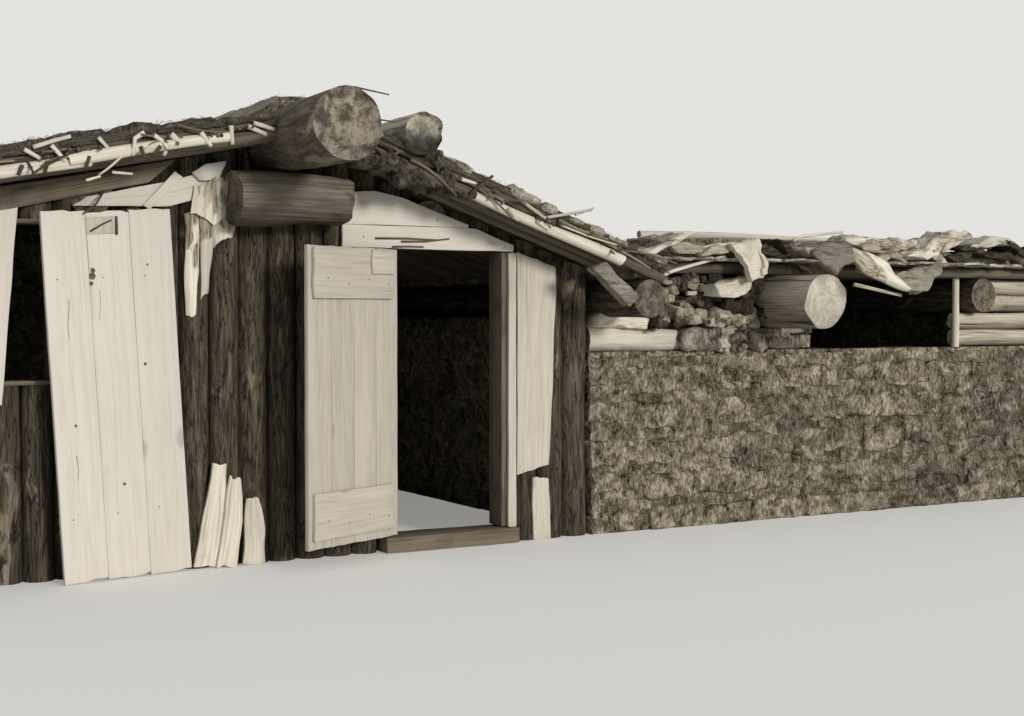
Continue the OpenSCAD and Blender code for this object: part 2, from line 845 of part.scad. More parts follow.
module wing_poles() {
    pitch = (wing_end - wing_front) / wing_pole_n;
    x0 = shared_bearer_x - bearer_r;
    color("gray")
        for (i = [0:wing_pole_n - 1])
            translate([x0, wing_front + (i + 0.5) * pitch, wing_pole_z])
                rotate([0, 90, 0]) cylinder(h = wing_run + 60 - x0 + 25 * (i % 3), r = wing_pole_r, $fn = 20);
}

module wing_slabs() {
    n = 9;
    x0 = shared_bearer_x - bearer_r + 10;
    pitch = (wing_run + 60 - x0) / n;
    color("whitesmoke")
        for (i = [0:n - 1])
            translate([x0 + i * pitch, wing_front - 40 - 40 * (i % 3), wing_slab_z])
                cube([pitch - 6, wing_end - wing_front + 40 * (i % 3) + 50, slab_t]);
}

wing_sod_x0 = shared_bearer_x - shared_bearer_r + 20;
wing_sod_x1 = wing_run + 40;
wing_sod_steps = 14;

function wing_sod_x(i) = wing_sod_x0 + (wing_sod_x1 - wing_sod_x0) * i / wing_sod_steps;
function wing_sod_h(i) =
    wing_sod_t + 25 * cos(360 * i / wing_sod_steps) + 10 * sin(1300 * i / wing_sod_steps);

module wing_sod() {
    color("darkolivegreen")
        translate([0, wing_end - 30, wing_sod_z]) rotate([90, 0, 0]) linear_extrude(wing_end - wing_front - 40)
            polygon(concat([[wing_sod_x0, 0], [wing_sod_x1, 0]],
                [for (i = [wing_sod_steps:-1:0]) [wing_sod_x(i), wing_sod_h(i)]]));
}

module wing_post() {
    post_r = 28;
    color("whitesmoke")
        translate([gap_right - post_r - 2, post_r + 20, wing_wall_h])
            cylinder(h = wing_pole_z - wing_pole_r - wing_wall_h - seat, r = post_r);
}

module wing_log_panel() {
    low_h = bearer_top - 2 * bearer_r - seat - wing_wall_h;
    low_r = (low_h - 3 * seat) / 4;
    high_r = bearer_r / 2 - seat;
    y = 110;
    color("gainsboro")
        for (i = [0, 1]) {
            log_x(y, wing_wall_h + seat + low_r + (2 * low_r + seat) * i, gap_right, wing_in_right - 3,
                low_r, low_r);
            log_x(y, wing_wall_h + low_h + high_r + (2 * high_r + seat) * i, mid_bearer_x + bearer_r + 5,
                far_bearer_x - bearer_r - 5, high_r, high_r);
        }
}

module wing_weights() {
    r = 28;
    crest = max([for (i = [0:6]) wing_sod_h(i)]);
    color("whitesmoke") log_x(200, wing_sod_z + crest + r + seat, wing_sod_x(0) + 100, wing_sod_x(6), r, r);
}

sill_log();
door_posts();
door_lintel();
door_planks();
door_ledges();
door_straps();
hinge_pintles();
left_front_logs();
right_front_logs();
over_door_logs();
window_frame();
header_log();
left_gable_boards();
right_gable_boards();
jamb_boards();
plank_panel();
slanted_board();
foot_slabs();
left_turf_wall();
right_turf_wall();
rear_turf_wall();
wall_plates();
purlins();
ridge_log();
side_log();
left_poles();
right_poles();
rake_poles();
roof_brush();
left_sod();
right_sod();
ridge_sod();
wing_front_wall();
wing_right_wall();
wing_rear_wall();
wing_cap_log();
wing_blocks();
wing_big_log();
wing_bearers();
wing_poles();
wing_slabs();
wing_sod();
wing_post();
wing_log_panel();
wing_weights();
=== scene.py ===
"""The turf house as it shows: bark, boards, cut turf, sods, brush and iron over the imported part.

Everything is in metres, in the part's own frame: the origin is the middle of the doorway on the ground,
+X runs right along the front, +Y into the house and +Z up.
"""

import functools
import math
import zlib

import bpy
import numpy as np
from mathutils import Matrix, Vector


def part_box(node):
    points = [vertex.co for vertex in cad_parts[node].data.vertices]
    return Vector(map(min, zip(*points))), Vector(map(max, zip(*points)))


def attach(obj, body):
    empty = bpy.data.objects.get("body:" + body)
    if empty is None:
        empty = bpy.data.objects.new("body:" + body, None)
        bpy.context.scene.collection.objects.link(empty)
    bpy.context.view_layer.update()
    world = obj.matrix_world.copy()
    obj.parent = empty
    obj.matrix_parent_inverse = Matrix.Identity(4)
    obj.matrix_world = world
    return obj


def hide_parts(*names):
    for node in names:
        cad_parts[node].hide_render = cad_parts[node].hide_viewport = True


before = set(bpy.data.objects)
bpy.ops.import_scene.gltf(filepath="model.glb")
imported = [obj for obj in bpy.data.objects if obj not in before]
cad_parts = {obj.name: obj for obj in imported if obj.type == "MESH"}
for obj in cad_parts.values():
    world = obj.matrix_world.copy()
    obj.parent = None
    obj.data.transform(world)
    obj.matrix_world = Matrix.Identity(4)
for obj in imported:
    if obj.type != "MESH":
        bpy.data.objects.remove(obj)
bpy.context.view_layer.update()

# Sizes that the part and the looks share

SEED = 1887
LEFT, RIGHT = -1, 1
RIDGE_X = -1.12
APEX_Z = {LEFT: 2.465, RIGHT: 2.51}
PITCH = {LEFT: math.radians(11.2), RIGHT: math.radians(19.3)}
SLOPE_LEN = {LEFT: 2.61 / math.cos(PITCH[LEFT]), RIGHT: 2.42 / math.cos(PITCH[RIGHT])}
ROOF_FRONT, ROOF_BACK, SOD_BACK = -0.45, 4.88, 4.87
POLE_R, POLES_N, RAKE_Y = 0.038, 27, -0.407
BRUSH_Z, SOD_Z = 0.0763, 0.1166
PLATE_R, PLATE_BACK = 0.12, 4.84
RIDGE_R, RIDGE_ENDS = (0.195, 0.150), (-1.0, 4.94)
DOORWAY_HALF, POST_OUT, DOOR_TOP = 0.37, 0.47, 1.86
LOG_FACE = 0.0122
COURSE_H = 0.12
WING_WALL_H, BEARER_TOP = 1.21, 1.74
SEAT = 0.0003
FRONT = np.array([0, -1.0, 0])
UP = np.array([0, 0, 1.0])
# Each part takes its grain and lumps from a place of its own, this far along each axis at most
GRAIN_SPAN = 50


def low(node):
    """The lowest corner of a node's box."""
    return np.array(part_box(node)[0])


def high(node):
    """The highest corner of a node's box."""
    return np.array(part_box(node)[1])


def beam_pair(node):
    """Middles, as x and z, of the two like logs of a node that lie under the slopes."""
    a, b = low(node), high(node)
    return {LEFT: (a[0] + PLATE_R, b[2] - PLATE_R), RIGHT: (b[0] - PLATE_R, a[2] + PLATE_R)}


RIDGE_Z = (low("ridge_log")[2] + high("ridge_log")[2]) / 2
SHARED_TOP = high("right_turf_wall")[2]


def middle_line(node, axis):
    """The ends of a line through the middle of a node's box, along an axis."""
    a, b = low(node), high(node)
    start, end = (a + b) / 2, (a + b) / 2
    start[axis], end[axis] = a[axis], b[axis]
    return start, end


def under_roof(x):
    """Height of the roof poles' underside at x."""
    x = np.asarray(x, float)
    left = x < RIDGE_X
    fall = np.where(left, math.tan(PITCH[LEFT]), math.tan(PITCH[RIGHT]))
    return np.where(left, APEX_Z[LEFT], APEX_Z[RIGHT]) - np.abs(x - RIDGE_X) * fall


def on_slope(side, points):
    """Points of a slope: x down the slope, y as it is, z up from the line of the poles' undersides."""
    run, y, rise = np.asarray(points, float).T
    c, s = math.cos(PITCH[side]), math.sin(PITCH[side])
    return np.stack([RIDGE_X + side * (run * c + rise * s), y, APEX_Z[side] - run * s + rise * c], -1)


# Chance and noise

def chance(name):
    """A random generator that depends on the piece's name alone."""
    return np.random.default_rng([SEED, zlib.crc32(name.encode())])


def lattice(i, j, k, seed):
    h = (i * 374761393 + j * 668265263 + k * 1103515245 + seed * 974634777) & 0xFFFFFFFF
    h = ((h ^ (h >> 13)) * 1274126177) & 0xFFFFFFFF
    return ((h ^ (h >> 16)) & 0xFFFF) / 32767.5 - 1.0


def noise(points, scale, seed=0):
    """Smooth value noise from -1 to 1. scale is cells per metre, one number or one per axis."""
    q = np.asarray(points, float) * scale
    cell = np.floor(q).astype(np.int64)
    f = q - cell
    f = f * f * (3 - 2 * f)
    total = np.zeros(len(q))
    for corner in np.ndindex(2, 2, 2):
        x, y, z = np.abs(1 - np.array(corner) - f).T
        total += x * y * z * lattice(*(cell + corner).T, seed)
    return total


def rough(points, scale, seed=0, octaves=3):
    """Noise summed over octaves, each half as strong and twice as fine as the last."""
    return sum(noise(points, np.asarray(scale) * 2 ** o, seed + o) / 2 ** o for o in range(octaves))


# Meshes

def unit(vectors):
    """The vectors, each made one long."""
    vectors = np.asarray(vectors, float)
    return vectors / np.linalg.norm(vectors, axis=-1, keepdims=True)


class Shape:
    """Points and faces gathered part by part, with what the materials read at each point."""

    def __init__(self):
        self.points, self.faces, self.kinds, self.grain, self.tone = [], [], [], [], []
        self.count = 0

    def add(self, points, faces, grain, tone=0.5, kind=0):
        """faces has four corners a row; a triangle repeats its last one. kind is the material's number."""
        points = np.asarray(points, float)
        self.points.append(points)
        self.faces.append(np.asarray(faces) + self.count)
        self.kinds.append(np.broadcast_to(kind, len(faces)))
        self.grain.append(np.broadcast_to(grain, points.shape))
        self.tone.append(np.broadcast_to(tone, len(points)))
        self.count += len(points)


def new_object(name, data):
    made = bpy.data.objects.new(name, data)
    bpy.context.scene.collection.objects.link(made)
    return made


def place(name, shape, materials, replaces=(), body="house"):
    """Makes one Blender object of a shape, to ride on a body and stand for the nodes it replaces."""
    points = np.concatenate(shape.points)
    points[:, 2] = np.maximum(points[:, 2], 0)
    faces = np.concatenate(shape.faces)
    keep = np.ones(faces.shape, bool)
    keep[:, 3] = faces[:, 2] != faces[:, 3]
    corners = keep.sum(1)
    mesh = bpy.data.meshes.new(name)
    mesh.vertices.add(len(points))
    mesh.loops.add(int(corners.sum()))
    mesh.polygons.add(len(faces))
    for rows, key, values in ((mesh.vertices, "co", points.astype(np.float32).ravel()),
                              (mesh.loops, "vertex_index", faces[keep].astype(np.int32)),
                              (mesh.polygons, "loop_start", (np.cumsum(corners) - corners).astype(np.int32)),
                              (mesh.polygons, "material_index", np.concatenate(shape.kinds).astype(np.int32)),
                              (mesh.polygons, "use_smooth", np.ones(len(faces), bool))):
        rows.foreach_set(key, values)
    mesh.update(calc_edges=True)
    for key, kind, field, rows in (("grain", "FLOAT_VECTOR", "vector", shape.grain),
                                   ("tone", "FLOAT", "value", shape.tone)):
        values = np.concatenate(rows).astype(np.float32).ravel()
        mesh.attributes.new(key, kind, "POINT").data.foreach_set(field, values)
    for material in materials:
        mesh.materials.append(material)
    piece = new_object(name, mesh)
    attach(piece, body)
    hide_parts(*replaces)


@functools.cache
def box_grid(nx, ny, nz):
    """Index triples and outward faces of a box surface with nx, ny and nz cells along its sides."""
    cells = (nx, ny, nz)
    ids, faces = {}, []

    def corner(axis, side, b, c):
        key = [0, 0, 0]
        key[axis], key[(axis + 1) % 3], key[(axis + 2) % 3] = side, b, c
        return ids.setdefault(tuple(key), len(ids))

    for axis in range(3):
        nb, nc = cells[(axis + 1) % 3], cells[(axis + 2) % 3]
        for side in (0, cells[axis]):
            for b in range(nb):
                for c in range(nc):
                    quad = [corner(axis, side, b + u, c + v) for u, v in ((0, 0), (1, 0), (1, 1), (0, 1))]
                    faces.append(quad if side else quad[::-1])
    return np.array(list(ids)), np.array(faces)


def soft_box(size, cells, r):
    """Points, outward directions and faces of a box with rounded edges, centred on the origin."""
    index, faces = box_grid(*cells)
    half = np.array(size) / 2
    r = min(r, 0.45 * min(size))
    lines = [np.concatenate([[-h], np.linspace(r - h, h - r, n - 1), [h]]) for h, n in zip(half, cells)]
    p = np.stack([line[index[:, axis]] for axis, line in enumerate(lines)], 1)
    core = np.clip(p, r - half, half - r)
    out = unit(p - core)
    return core + out * r, out, faces


def looking_up(out, faces):
    """Which of a box's faces look up, from its outward directions."""
    return out[faces].mean(1)[:, 2] > 0.6


def ring_faces(rings, sides):
    """Faces between rings of points that lie one after another."""
    i = np.arange(rings - 1)[:, None] * sides
    a = np.arange(sides)[None]
    b = (a + 1) % sides
    return np.stack([i + a, i + b, i + sides + b, i + sides + a], -1).reshape(-1, 4)


def fan(first, sides, hub):
    """Triangles from the ring that starts at first to a hub."""
    a = np.arange(sides)
    hub = np.full(sides, hub)
    return np.stack([first + a, first + (a + 1) % sides, hub, hub], 1)


def flipped(faces):
    """The faces with their front and back exchanged."""
    return faces[:, [1, 0, 3, 2]]


def run_of(path):
    """How far each point of a path lies along it."""
    return np.concatenate([[0], np.cumsum(np.linalg.norm(np.diff(path, axis=0), axis=1))])


def frame_along(direction):
    """Three unit vectors as rows: across, depth and along, with along in the given direction."""
    along = unit(direction)
    across = unit(np.cross(UP if abs(along[2]) < 0.9 else -FRONT, along))
    return np.stack([across, np.cross(along, across), along])


def log(shape, start, end, r0, r1, rng, sides=28, step=0.06, bend=0.006, lump=0.03, furrow=0.018,
        knots=3, tone=None, bleach=0.0, bark=0, cut=1, rag=0.0, ceiling=None):
    """A round log: lumps, furrows, a few knots and ends of another material. Its bleach number pales the upper side
    and the top of each end and darkens the undersides: part sun bleaching, part painted shade. rag is how far
    its ends are broken back."""
    start, end = np.asarray(start, float), np.asarray(end, float)
    axes, length, mean = frame_along(end - start), np.linalg.norm(end - start), (r0 + r1) / 2
    rings = max(3, int(length / step) + 1)
    turn = np.linspace(0, 2 * math.pi, sides, endpoint=False)
    zz, tt = (v.ravel() for v in np.meshgrid(np.linspace(0, length, rings), turn, indexing="ij"))
    offset = rng.uniform(0, GRAIN_SPAN, 3)
    around = np.stack([np.cos(tt), np.sin(tt)], 1)
    ring = np.column_stack([around * mean, zz]) + offset
    swell = lump * rough(ring, (0.6 / mean, 0.6 / mean, 1.6), 1, 2)
    swell += furrow * noise(ring, (3.4 / mean, 3.4 / mean, 1.1 / mean), 7)
    for _ in range(knots):
        kz, kt = rng.uniform(0.05, 0.95) * length, rng.uniform(0, 2 * math.pi)
        gap = np.hypot((zz - kz) / (0.8 * mean), np.angle(np.exp(1j * (tt - kt))) / 0.8)
        swell += 0.09 * np.exp(-gap * gap * 4)
    swell = np.where(swell > 0, 0.03 * np.tanh(swell / 0.03), swell)
    r = (r0 + (r1 - r0) * zz / length) * (1 + swell)
    phase = rng.uniform(0, 2 * math.pi, 2)
    sway = bend * np.sin(math.pi * zz / length) * np.sin(phase[:, None] + np.outer((2.2, 1.7), zz))
    local = np.column_stack([around * r[:, None] + sway.T, zz])
    broken = rag * (0.5 + 0.5 * noise(ring, (2.6 / mean, 2.6 / mean, 0.0), 11))
    local[:sides, 2] += broken[:sides]
    local[-sides:, 2] -= broken[-sides:]
    shade = rng.uniform(0.25, 0.75) if tone is None else tone

    def add(points, faces, grain, rise, kind):
        placed = start + points @ axes
        if ceiling is not None:
            placed[:, 2] = np.minimum(placed[:, 2], ceiling(placed[:, 0]))
        # Tone rises with height around the log and up each end: pale tops, painted shade underneath.
        shape.add(placed, faces, grain, shade + bleach * (rise @ axes[:2])[:, 2], kind)

    add(local, ring_faces(rings, sides), ring, around, bark)
    for edge, sign in ((local[:sides], -1), (local[-sides:], 1)):
        middle = edge.mean(0)
        cap = np.concatenate([middle + (edge - middle) * f for f in (1, 0.93, 0.66, 0.33)] + [middle[None]])
        cap[sides:, 2] += rng.uniform(-1, 1, 3 * sides + 1) * 0.02 * mean
        cap[sides:, 2] -= sign * rag * (0.5 + 0.5 * rough(cap[sides:] + offset, 1.6 / mean, 5, 2))
        faces = np.concatenate([ring_faces(4, sides), fan(3 * sides, sides, 4 * sides)])
        flat = np.column_stack([(cap - middle)[:, :2], np.full(len(cap), offset[0])]) / mean
        add(cap, flipped(faces) if sign < 0 else faces, flat, flat[:, :2], cut)


def log_piece(name, node, lines, materials, slot, rng, **more):
    """A piece of like logs, each given by its two ends and its two radii."""
    shape = Shape()
    for line in lines:
        log(shape, *line, rng, **more)
    place(name, shape, materials, (node,))


def tube(shape, path, r0, r1, sides=6, tone=0.5, kind=0, grain_offset=0.0):
    """A twig or stick that follows a path, closed at both ends."""
    path = np.asarray(path, float)
    n = len(path)
    ahead = unit(np.gradient(path, axis=0))
    across = unit(np.cross(ahead, UP if abs(ahead[0, 2]) < 0.9 else (1, 0, 0)))
    turn = np.linspace(0, 2 * math.pi, sides, endpoint=False)
    c, s = np.cos(turn), np.sin(turn)
    sweep = c[None, :, None] * across[:, None] + s[None, :, None] * np.cross(across, ahead)[:, None]
    ring = path[:, None] + np.linspace(r0, r1, n)[:, None, None] * sweep
    faces = [flipped(ring_faces(n, sides)), fan(0, sides, n * sides),
             flipped(fan((n - 1) * sides, sides, n * sides + 1))]
    run = run_of(path)
    grain = np.stack([np.tile(c, n) * r0, np.tile(s, n) * r0, np.repeat(run, sides)], 1)
    shape.add(np.concatenate([ring.reshape(-1, 3), path[:1], path[-1:]]), np.concatenate(faces),
              np.concatenate([grain, [[0, 0, 0], [0, 0, run[-1]]]]) + grain_offset, tone, kind)


def plank(shape, left, right, normal, thick, rng, step=0.05, across_cells=6, cup=0.0, ragged=0.004,
          wander=0.002, tone=None, kind=0):
    """A board between two edges, given as polylines from foot to head. Its back lies on the edges' plane and
    its face is thick further along normal."""
    left, right, normal = np.asarray(left, float), np.asarray(right, float), unit(normal)

    def edge_at(line, share):
        run, inside = run_of(line), np.clip(share, 0, 1)
        p = np.stack([np.interp(inside * run[-1], run, line[:, axis]) for axis in range(3)], 1)
        return p + (line[-1] - line[0]) * (share - inside)[:, None]

    length = (np.linalg.norm(left[-1] - left[0]) + np.linalg.norm(right[-1] - right[0])) / 2
    samples = np.linspace(0, 1, 9)
    width = np.linalg.norm(edge_at(right, samples) - edge_at(left, samples), axis=1).mean()
    local, _, faces = soft_box((width, thick, length), (across_cells, 3, max(4, int(length / step))), 0.003)
    offset = rng.uniform(0, GRAIN_SPAN, 3)
    u = local[:, 0] / width + 0.5
    grain = local + offset
    end = np.clip((np.abs(local[:, 2]) - (length / 2 - 0.04)) / 0.04, 0, 1)
    v = local[:, 2] + length / 2 + np.sign(local[:, 2]) * end * ragged * rough(grain, (22, 0, 0), 3, 2)
    fray = wander * rough(v[:, None] * (1, 0, 0) + offset, (5, 0, 0), 5, 2)
    shift = fray * np.sign(local[:, 0]) * np.abs(2 * u - 1)
    fore = local[:, 1] + thick / 2 + cup * (1 - (2 * u - 1) ** 2) + 0.0012 * rough(grain, (14, 14, 4), 9, 2)
    a, b = edge_at(left, v / length), edge_at(right, v / length)
    side = (b - a) / np.maximum(np.linalg.norm(b - a, axis=1, keepdims=True), 1e-6)
    points = a + (b - a) * u[:, None] + side * shift[:, None] + normal * fore[:, None]
    mirrored = np.cross((b - a).mean(0), left[-1] - left[0]) @ normal > 0
    shape.add(points, faces[:, ::-1] if mirrored else faces, grain, rng.uniform(0.2, 0.8) if tone is None else tone,
              kind)


def straight_plank(shape, foot_left, foot_right, rise, normal, thick, rng, **more):
    """A plank with parallel edges: rise goes from its foot to its head."""
    plank(shape, *([foot, np.add(foot, rise)] for foot in (foot_left, foot_right)), normal, thick, rng, **more)


def beam(shape, corner_low, corner_high, rng, along=2, r=0.008, lump=0.004, cut=0):
    """A hewn timber in a box, its grain along one axis."""
    a, b = np.asarray(corner_low, float), np.asarray(corner_high, float)
    cells = [4, 4, 4]
    cells[along] = max(4, int((b - a)[along] / 0.07))
    local, out, faces = soft_box(b - a, tuple(cells), r)
    offset = rng.uniform(0, GRAIN_SPAN, 3)
    push = lump * (rough(local + offset, np.where(np.arange(3) == along, 3.0, 9.0), 2, 3) - 0.6)
    shape.add((a + b) / 2 + local + out * push[:, None], faces, np.roll(local, 2 - along, axis=1) + offset,
              rng.uniform(0.25, 0.75), np.where(np.abs(out[faces].mean(1)[:, along]) > 0.8, cut, 0))


def clod(shape, centre, size, rng, turn=0.0, tilt=0.0, cells=(8, 4, 4), r=0.03, lump=0.014, tone=None, kind=0,
         top=None, put=np.asarray, flip=False):
    """A cut turf or a lump of earth, a rounded and uneven box. turn is about +Z, tilt about its own length. put
    takes its points to their place, top is the material of what looks up, and flip suits a mirrored put."""
    local, out, faces = soft_box(size, cells, r)
    offset = rng.uniform(0, GRAIN_SPAN, 3)
    points = local + out * (lump * (rough(local + offset, 9, 4, 4) - 0.35))[:, None]
    c, s = math.cos(tilt), math.sin(tilt)
    points = points @ np.array([[1, 0, 0], [0, c, s], [0, -s, c]])
    c, s = math.cos(turn), math.sin(turn)
    points = put(np.asarray(centre) + points @ np.array([[c, s, 0], [-s, c, 0], [0, 0, 1]]))
    kinds = kind if top is None else np.where(looking_up(out, faces), top, kind)
    shape.add(points, faces[:, ::-1] if flip else faces, local + offset,
              rng.uniform(0.15, 0.85) if tone is None else tone, kinds)


def chunk(shape, outline, y, depth, rng, lump=0.010, tone=None, kind=0, wrinkle=9.0):
    """A split block or a thick slab whose front, at y, has an outline in x and z. It reaches back by depth."""
    corners, sides = np.asarray(outline, float), 32
    area = np.cross(corners, np.roll(corners, -1, axis=0)).sum()
    closed = np.vstack([corners, corners[:1]])
    run = run_of(closed)
    share = np.linspace(0, run[-1], sides, endpoint=False)
    edge = np.stack([np.interp(share, run, closed[:, axis]) for axis in (0, 1)], 1)
    centre = edge.mean(0)
    rows = [(0.35, 0), (0.7, 0), (0.94, 0), *((1, d) for d in np.linspace(0.04, 0.96, 6)),
            (0.94, 1), (0.7, 1), (0.35, 1)]
    hub = len(rows) * sides
    points = [np.insert(centre + (edge - centre) * s, 1, y + d * depth, axis=1) for s, d in rows]
    points = np.concatenate(points + [[[centre[0], y + d, centre[1]] for d in (0, depth)]])
    faces = np.concatenate([ring_faces(len(rows), sides), flipped(fan(0, sides, hub)),
                            fan(hub - sides, sides, hub + 1)])
    offset = rng.uniform(0, GRAIN_SPAN, 3)
    points += lump * np.stack([rough(points + offset, wrinkle, 31 + axis, 3) for axis in range(3)], 1)
    shape.add(points, flipped(faces) if area > 0 else faces, points[:, [1, 2, 0]] + offset,
              rng.uniform(0.3, 0.8) if tone is None else tone, kind)


def blades(shape, roots, ahead, width, rng, kind=0):
    """Grass blades or root hairs, each a thin closed spike from its root along its row of ahead."""
    n = len(roots)
    along = unit(ahead)
    side = unit(np.cross(along, rng.normal(size=(n, 3))))
    other = np.cross(along, side)
    base = [roots + width * (math.cos(t) * side + math.sin(t) * other) for t in (0, 2.0944, 4.1888)]
    first = 4 * np.arange(n)[:, None]
    faces = np.concatenate([first + np.array([f]) for f in ([0, 1, 3, 3], [1, 2, 3, 3], [2, 0, 3, 3], [0, 2, 1, 1])])
    shape.add(np.stack(base + [roots + ahead], 1).reshape(-1, 3), faces,
              np.repeat(rng.uniform(0, GRAIN_SPAN, (n, 3)), 4, axis=0), np.repeat(rng.uniform(0, 1, n), 4), kind)


# Materials

def rgb(code):
    """A linear colour from a six-digit sRGB code."""
    parts = [int(code[i:i + 2], 16) / 255 for i in (0, 2, 4)]
    return tuple(p / 12.92 if p <= 0.04045 else ((p + 0.055) / 1.055) ** 2.4 for p in parts) + (1.0,)


class Look:
    """A short way to write a material's nodes."""

    def __init__(self, name, roughness=0.9, coords="grain"):
        self.material = bpy.data.materials.new(name)
        self.material.use_nodes = True
        self.tree = self.material.node_tree
        self.tree.nodes.clear()
        self.surface = self.node("BsdfPrincipled", {"Roughness": roughness, "Specular IOR Level": 0.25}, "BSDF")
        self.shader = self.surface.node
        self.out = self.node("OutputMaterial", {"Surface": self.surface}, None)
        if coords == "grain":
            self.grain = self.node("Attribute", {}, "Vector", attribute_name="grain")
            self.tone = self.node("Attribute", {}, "Fac", attribute_name="tone")
        else:
            self.grain = self.node("TexCoord", {}, "Object")

    def node(self, kind, inputs, out=0, **settings):
        """Adds a node with its settings, values and links. It gives the output asked for, or the node."""
        made = self.tree.nodes.new("ShaderNode" + kind)
        for key, value in settings.items():
            setattr(made, key, value)
        for key, value in inputs.items():
            if isinstance(value, bpy.types.NodeSocket):
                self.tree.links.new(value, made.inputs[key])
            else:
                made.inputs[key].default_value = rgb(value) if isinstance(value, str) else value
        return made if out is None else made.outputs[out]

    def stretch(self, across, depth, along):
        return self.node("VectorMath", {0: self.grain, 1: (across, depth, along)}, operation="MULTIPLY")

    def noise(self, vector, scale, detail=4.0, roughness=0.55, distortion=0.0):
        return self.node("TexNoise", {"Vector": vector, "Scale": scale, "Detail": detail, "Roughness": roughness,
                                      "Distortion": distortion}, "Fac")

    def span(self, value, start, end, low_value=0.0, high_value=1.0):
        return self.node("MapRange", {"Value": value, "From Min": start, "From Max": end, "To Min": low_value,
                                      "To Max": high_value}, "Result", interpolation_type="SMOOTHSTEP")

    def math(self, operation, a, b=0.0):
        return self.node("Math", {0: a, 1: b}, operation=operation)

    def mix(self, share, a, b, blend="MIX"):
        return self.node("Mix", {0: share, 6: a, 7: b}, 2, data_type="RGBA", blend_type=blend)

    def ramp(self, value, *codes, stops=(0.3, 0.5, 0.7)):
        """Colours at the given stops."""
        made = self.node("ValToRGB", {"Fac": value}, None)
        made.color_ramp.elements.new(0.5)
        for element, position, code in zip(made.color_ramp.elements, stops, codes):
            element.position = position
            element.color = rgb(code)
        return made.outputs["Color"]

    def toned(self, colour, darkest, lightest):
        """The colour made darker or lighter by the piece's own tone, which on logs and on the main roof's front sods
        also carries painted light and shade.
        """
        level = self.span(self.tone, 0.0, 1.0, darkest, lightest)
        grey = self.node("CombineColor", dict.fromkeys(("Red", "Green", "Blue"), level), "Color")
        return self.mix(1.0, colour, grey, "MULTIPLY")

    def finish(self, colour, height=None, strength=0.5, distance=0.004):
        inputs = {"Base Color": colour}
        if height is not None:
            inputs["Normal"] = self.node("Bump", {"Strength": strength, "Distance": distance, "Height": height},
                                         "Normal")
        for key, value in inputs.items():
            self.tree.links.new(value, self.shader.inputs[key])
        return self.material


def wood(name, dark, middle, light, darkest=0.75, lightest=1.12, crack=0.5, knot=0.3, stain=0.35):
    """Weathered sawn or peeled wood: streaks and cracks along the grain, knots, and grey stains."""
    look = Look(name, 0.88)
    wavy = look.noise(look.stretch(1, 1, 0.25), 3.0, 2.0)
    streak = look.noise(look.stretch(1, 1, 0.03), 95.0, 7.0, 0.62, 0.35)
    broad = look.noise(look.stretch(1, 1, 0.05), 16.0, 4.0, 0.55, 0.5)
    colour = look.ramp(streak, dark, middle, light, stops=(0.3, 0.5, 0.72))
    colour = look.mix(look.span(broad, 0.35, 0.68, 0.0, 0.55), colour, light)
    split = look.span(look.noise(look.stretch(1, 1, 0.022), 48.0, 3.0, 0.5, 0.6), 0.30, 0.36, crack, 0.0)
    colour = look.mix(split, colour, "2b241d")
    eye = look.node("TexVoronoi", {"Vector": look.stretch(1, 0.6, 0.55), "Scale": 3.1}, "Distance")
    colour = look.mix(look.span(eye, 0.05, 0.13, knot, 0.0), colour, "4a382a")
    blot = look.span(look.noise(look.stretch(1, 1, 0.5), 5.5, 5.0, 0.6, 0.4), 0.52, 0.72, 0.0, stain)
    colour = look.toned(look.mix(blot, colour, dark), darkest, lightest)
    height = look.math("SUBTRACT", look.math("ADD", streak, look.math("MULTIPLY", wavy, 0.4)), split)
    return look.finish(colour, height, 0.55, 0.0025)


def bark(name, dark, middle, light, pale, bare=0.4, darkest=0.7, lightest=1.25, groove=0.5):
    """Bark with long fissures, and patches where it has come off the pale wood."""
    look = Look(name, 0.95)
    flake = look.noise(look.stretch(1, 1, 0.12), 38.0, 7.0, 0.68, 0.8)
    wander = look.noise(look.stretch(1, 1, 0.10), 17.0, 4.0, 0.6, 1.3)
    fissure = look.span(look.math("ABSOLUTE", look.math("SUBTRACT", wander, 0.5)), 0.0, 0.035, groove, 1.0)
    ridge = look.math("MULTIPLY", flake, fissure)
    colour = look.ramp(ridge, dark, middle, light, stops=(0.22, 0.45, 0.68))
    patch = look.noise(look.stretch(1, 1, 0.4), 4.2, 5.0, 0.6, 0.8)
    streak = look.noise(look.stretch(1, 1, 0.05), 60.0, 4.0)
    off = look.span(patch, 0.70 - 0.3 * bare, 0.76 - 0.3 * bare)
    bare_wood = look.mix(look.span(streak, 0.35, 0.65), pale, light)
    colour = look.toned(look.mix(off, colour, bare_wood), darkest, lightest)
    return look.finish(colour, look.mix(off, ridge, look.math("MULTIPLY", streak, 0.25)), 0.9, 0.007)


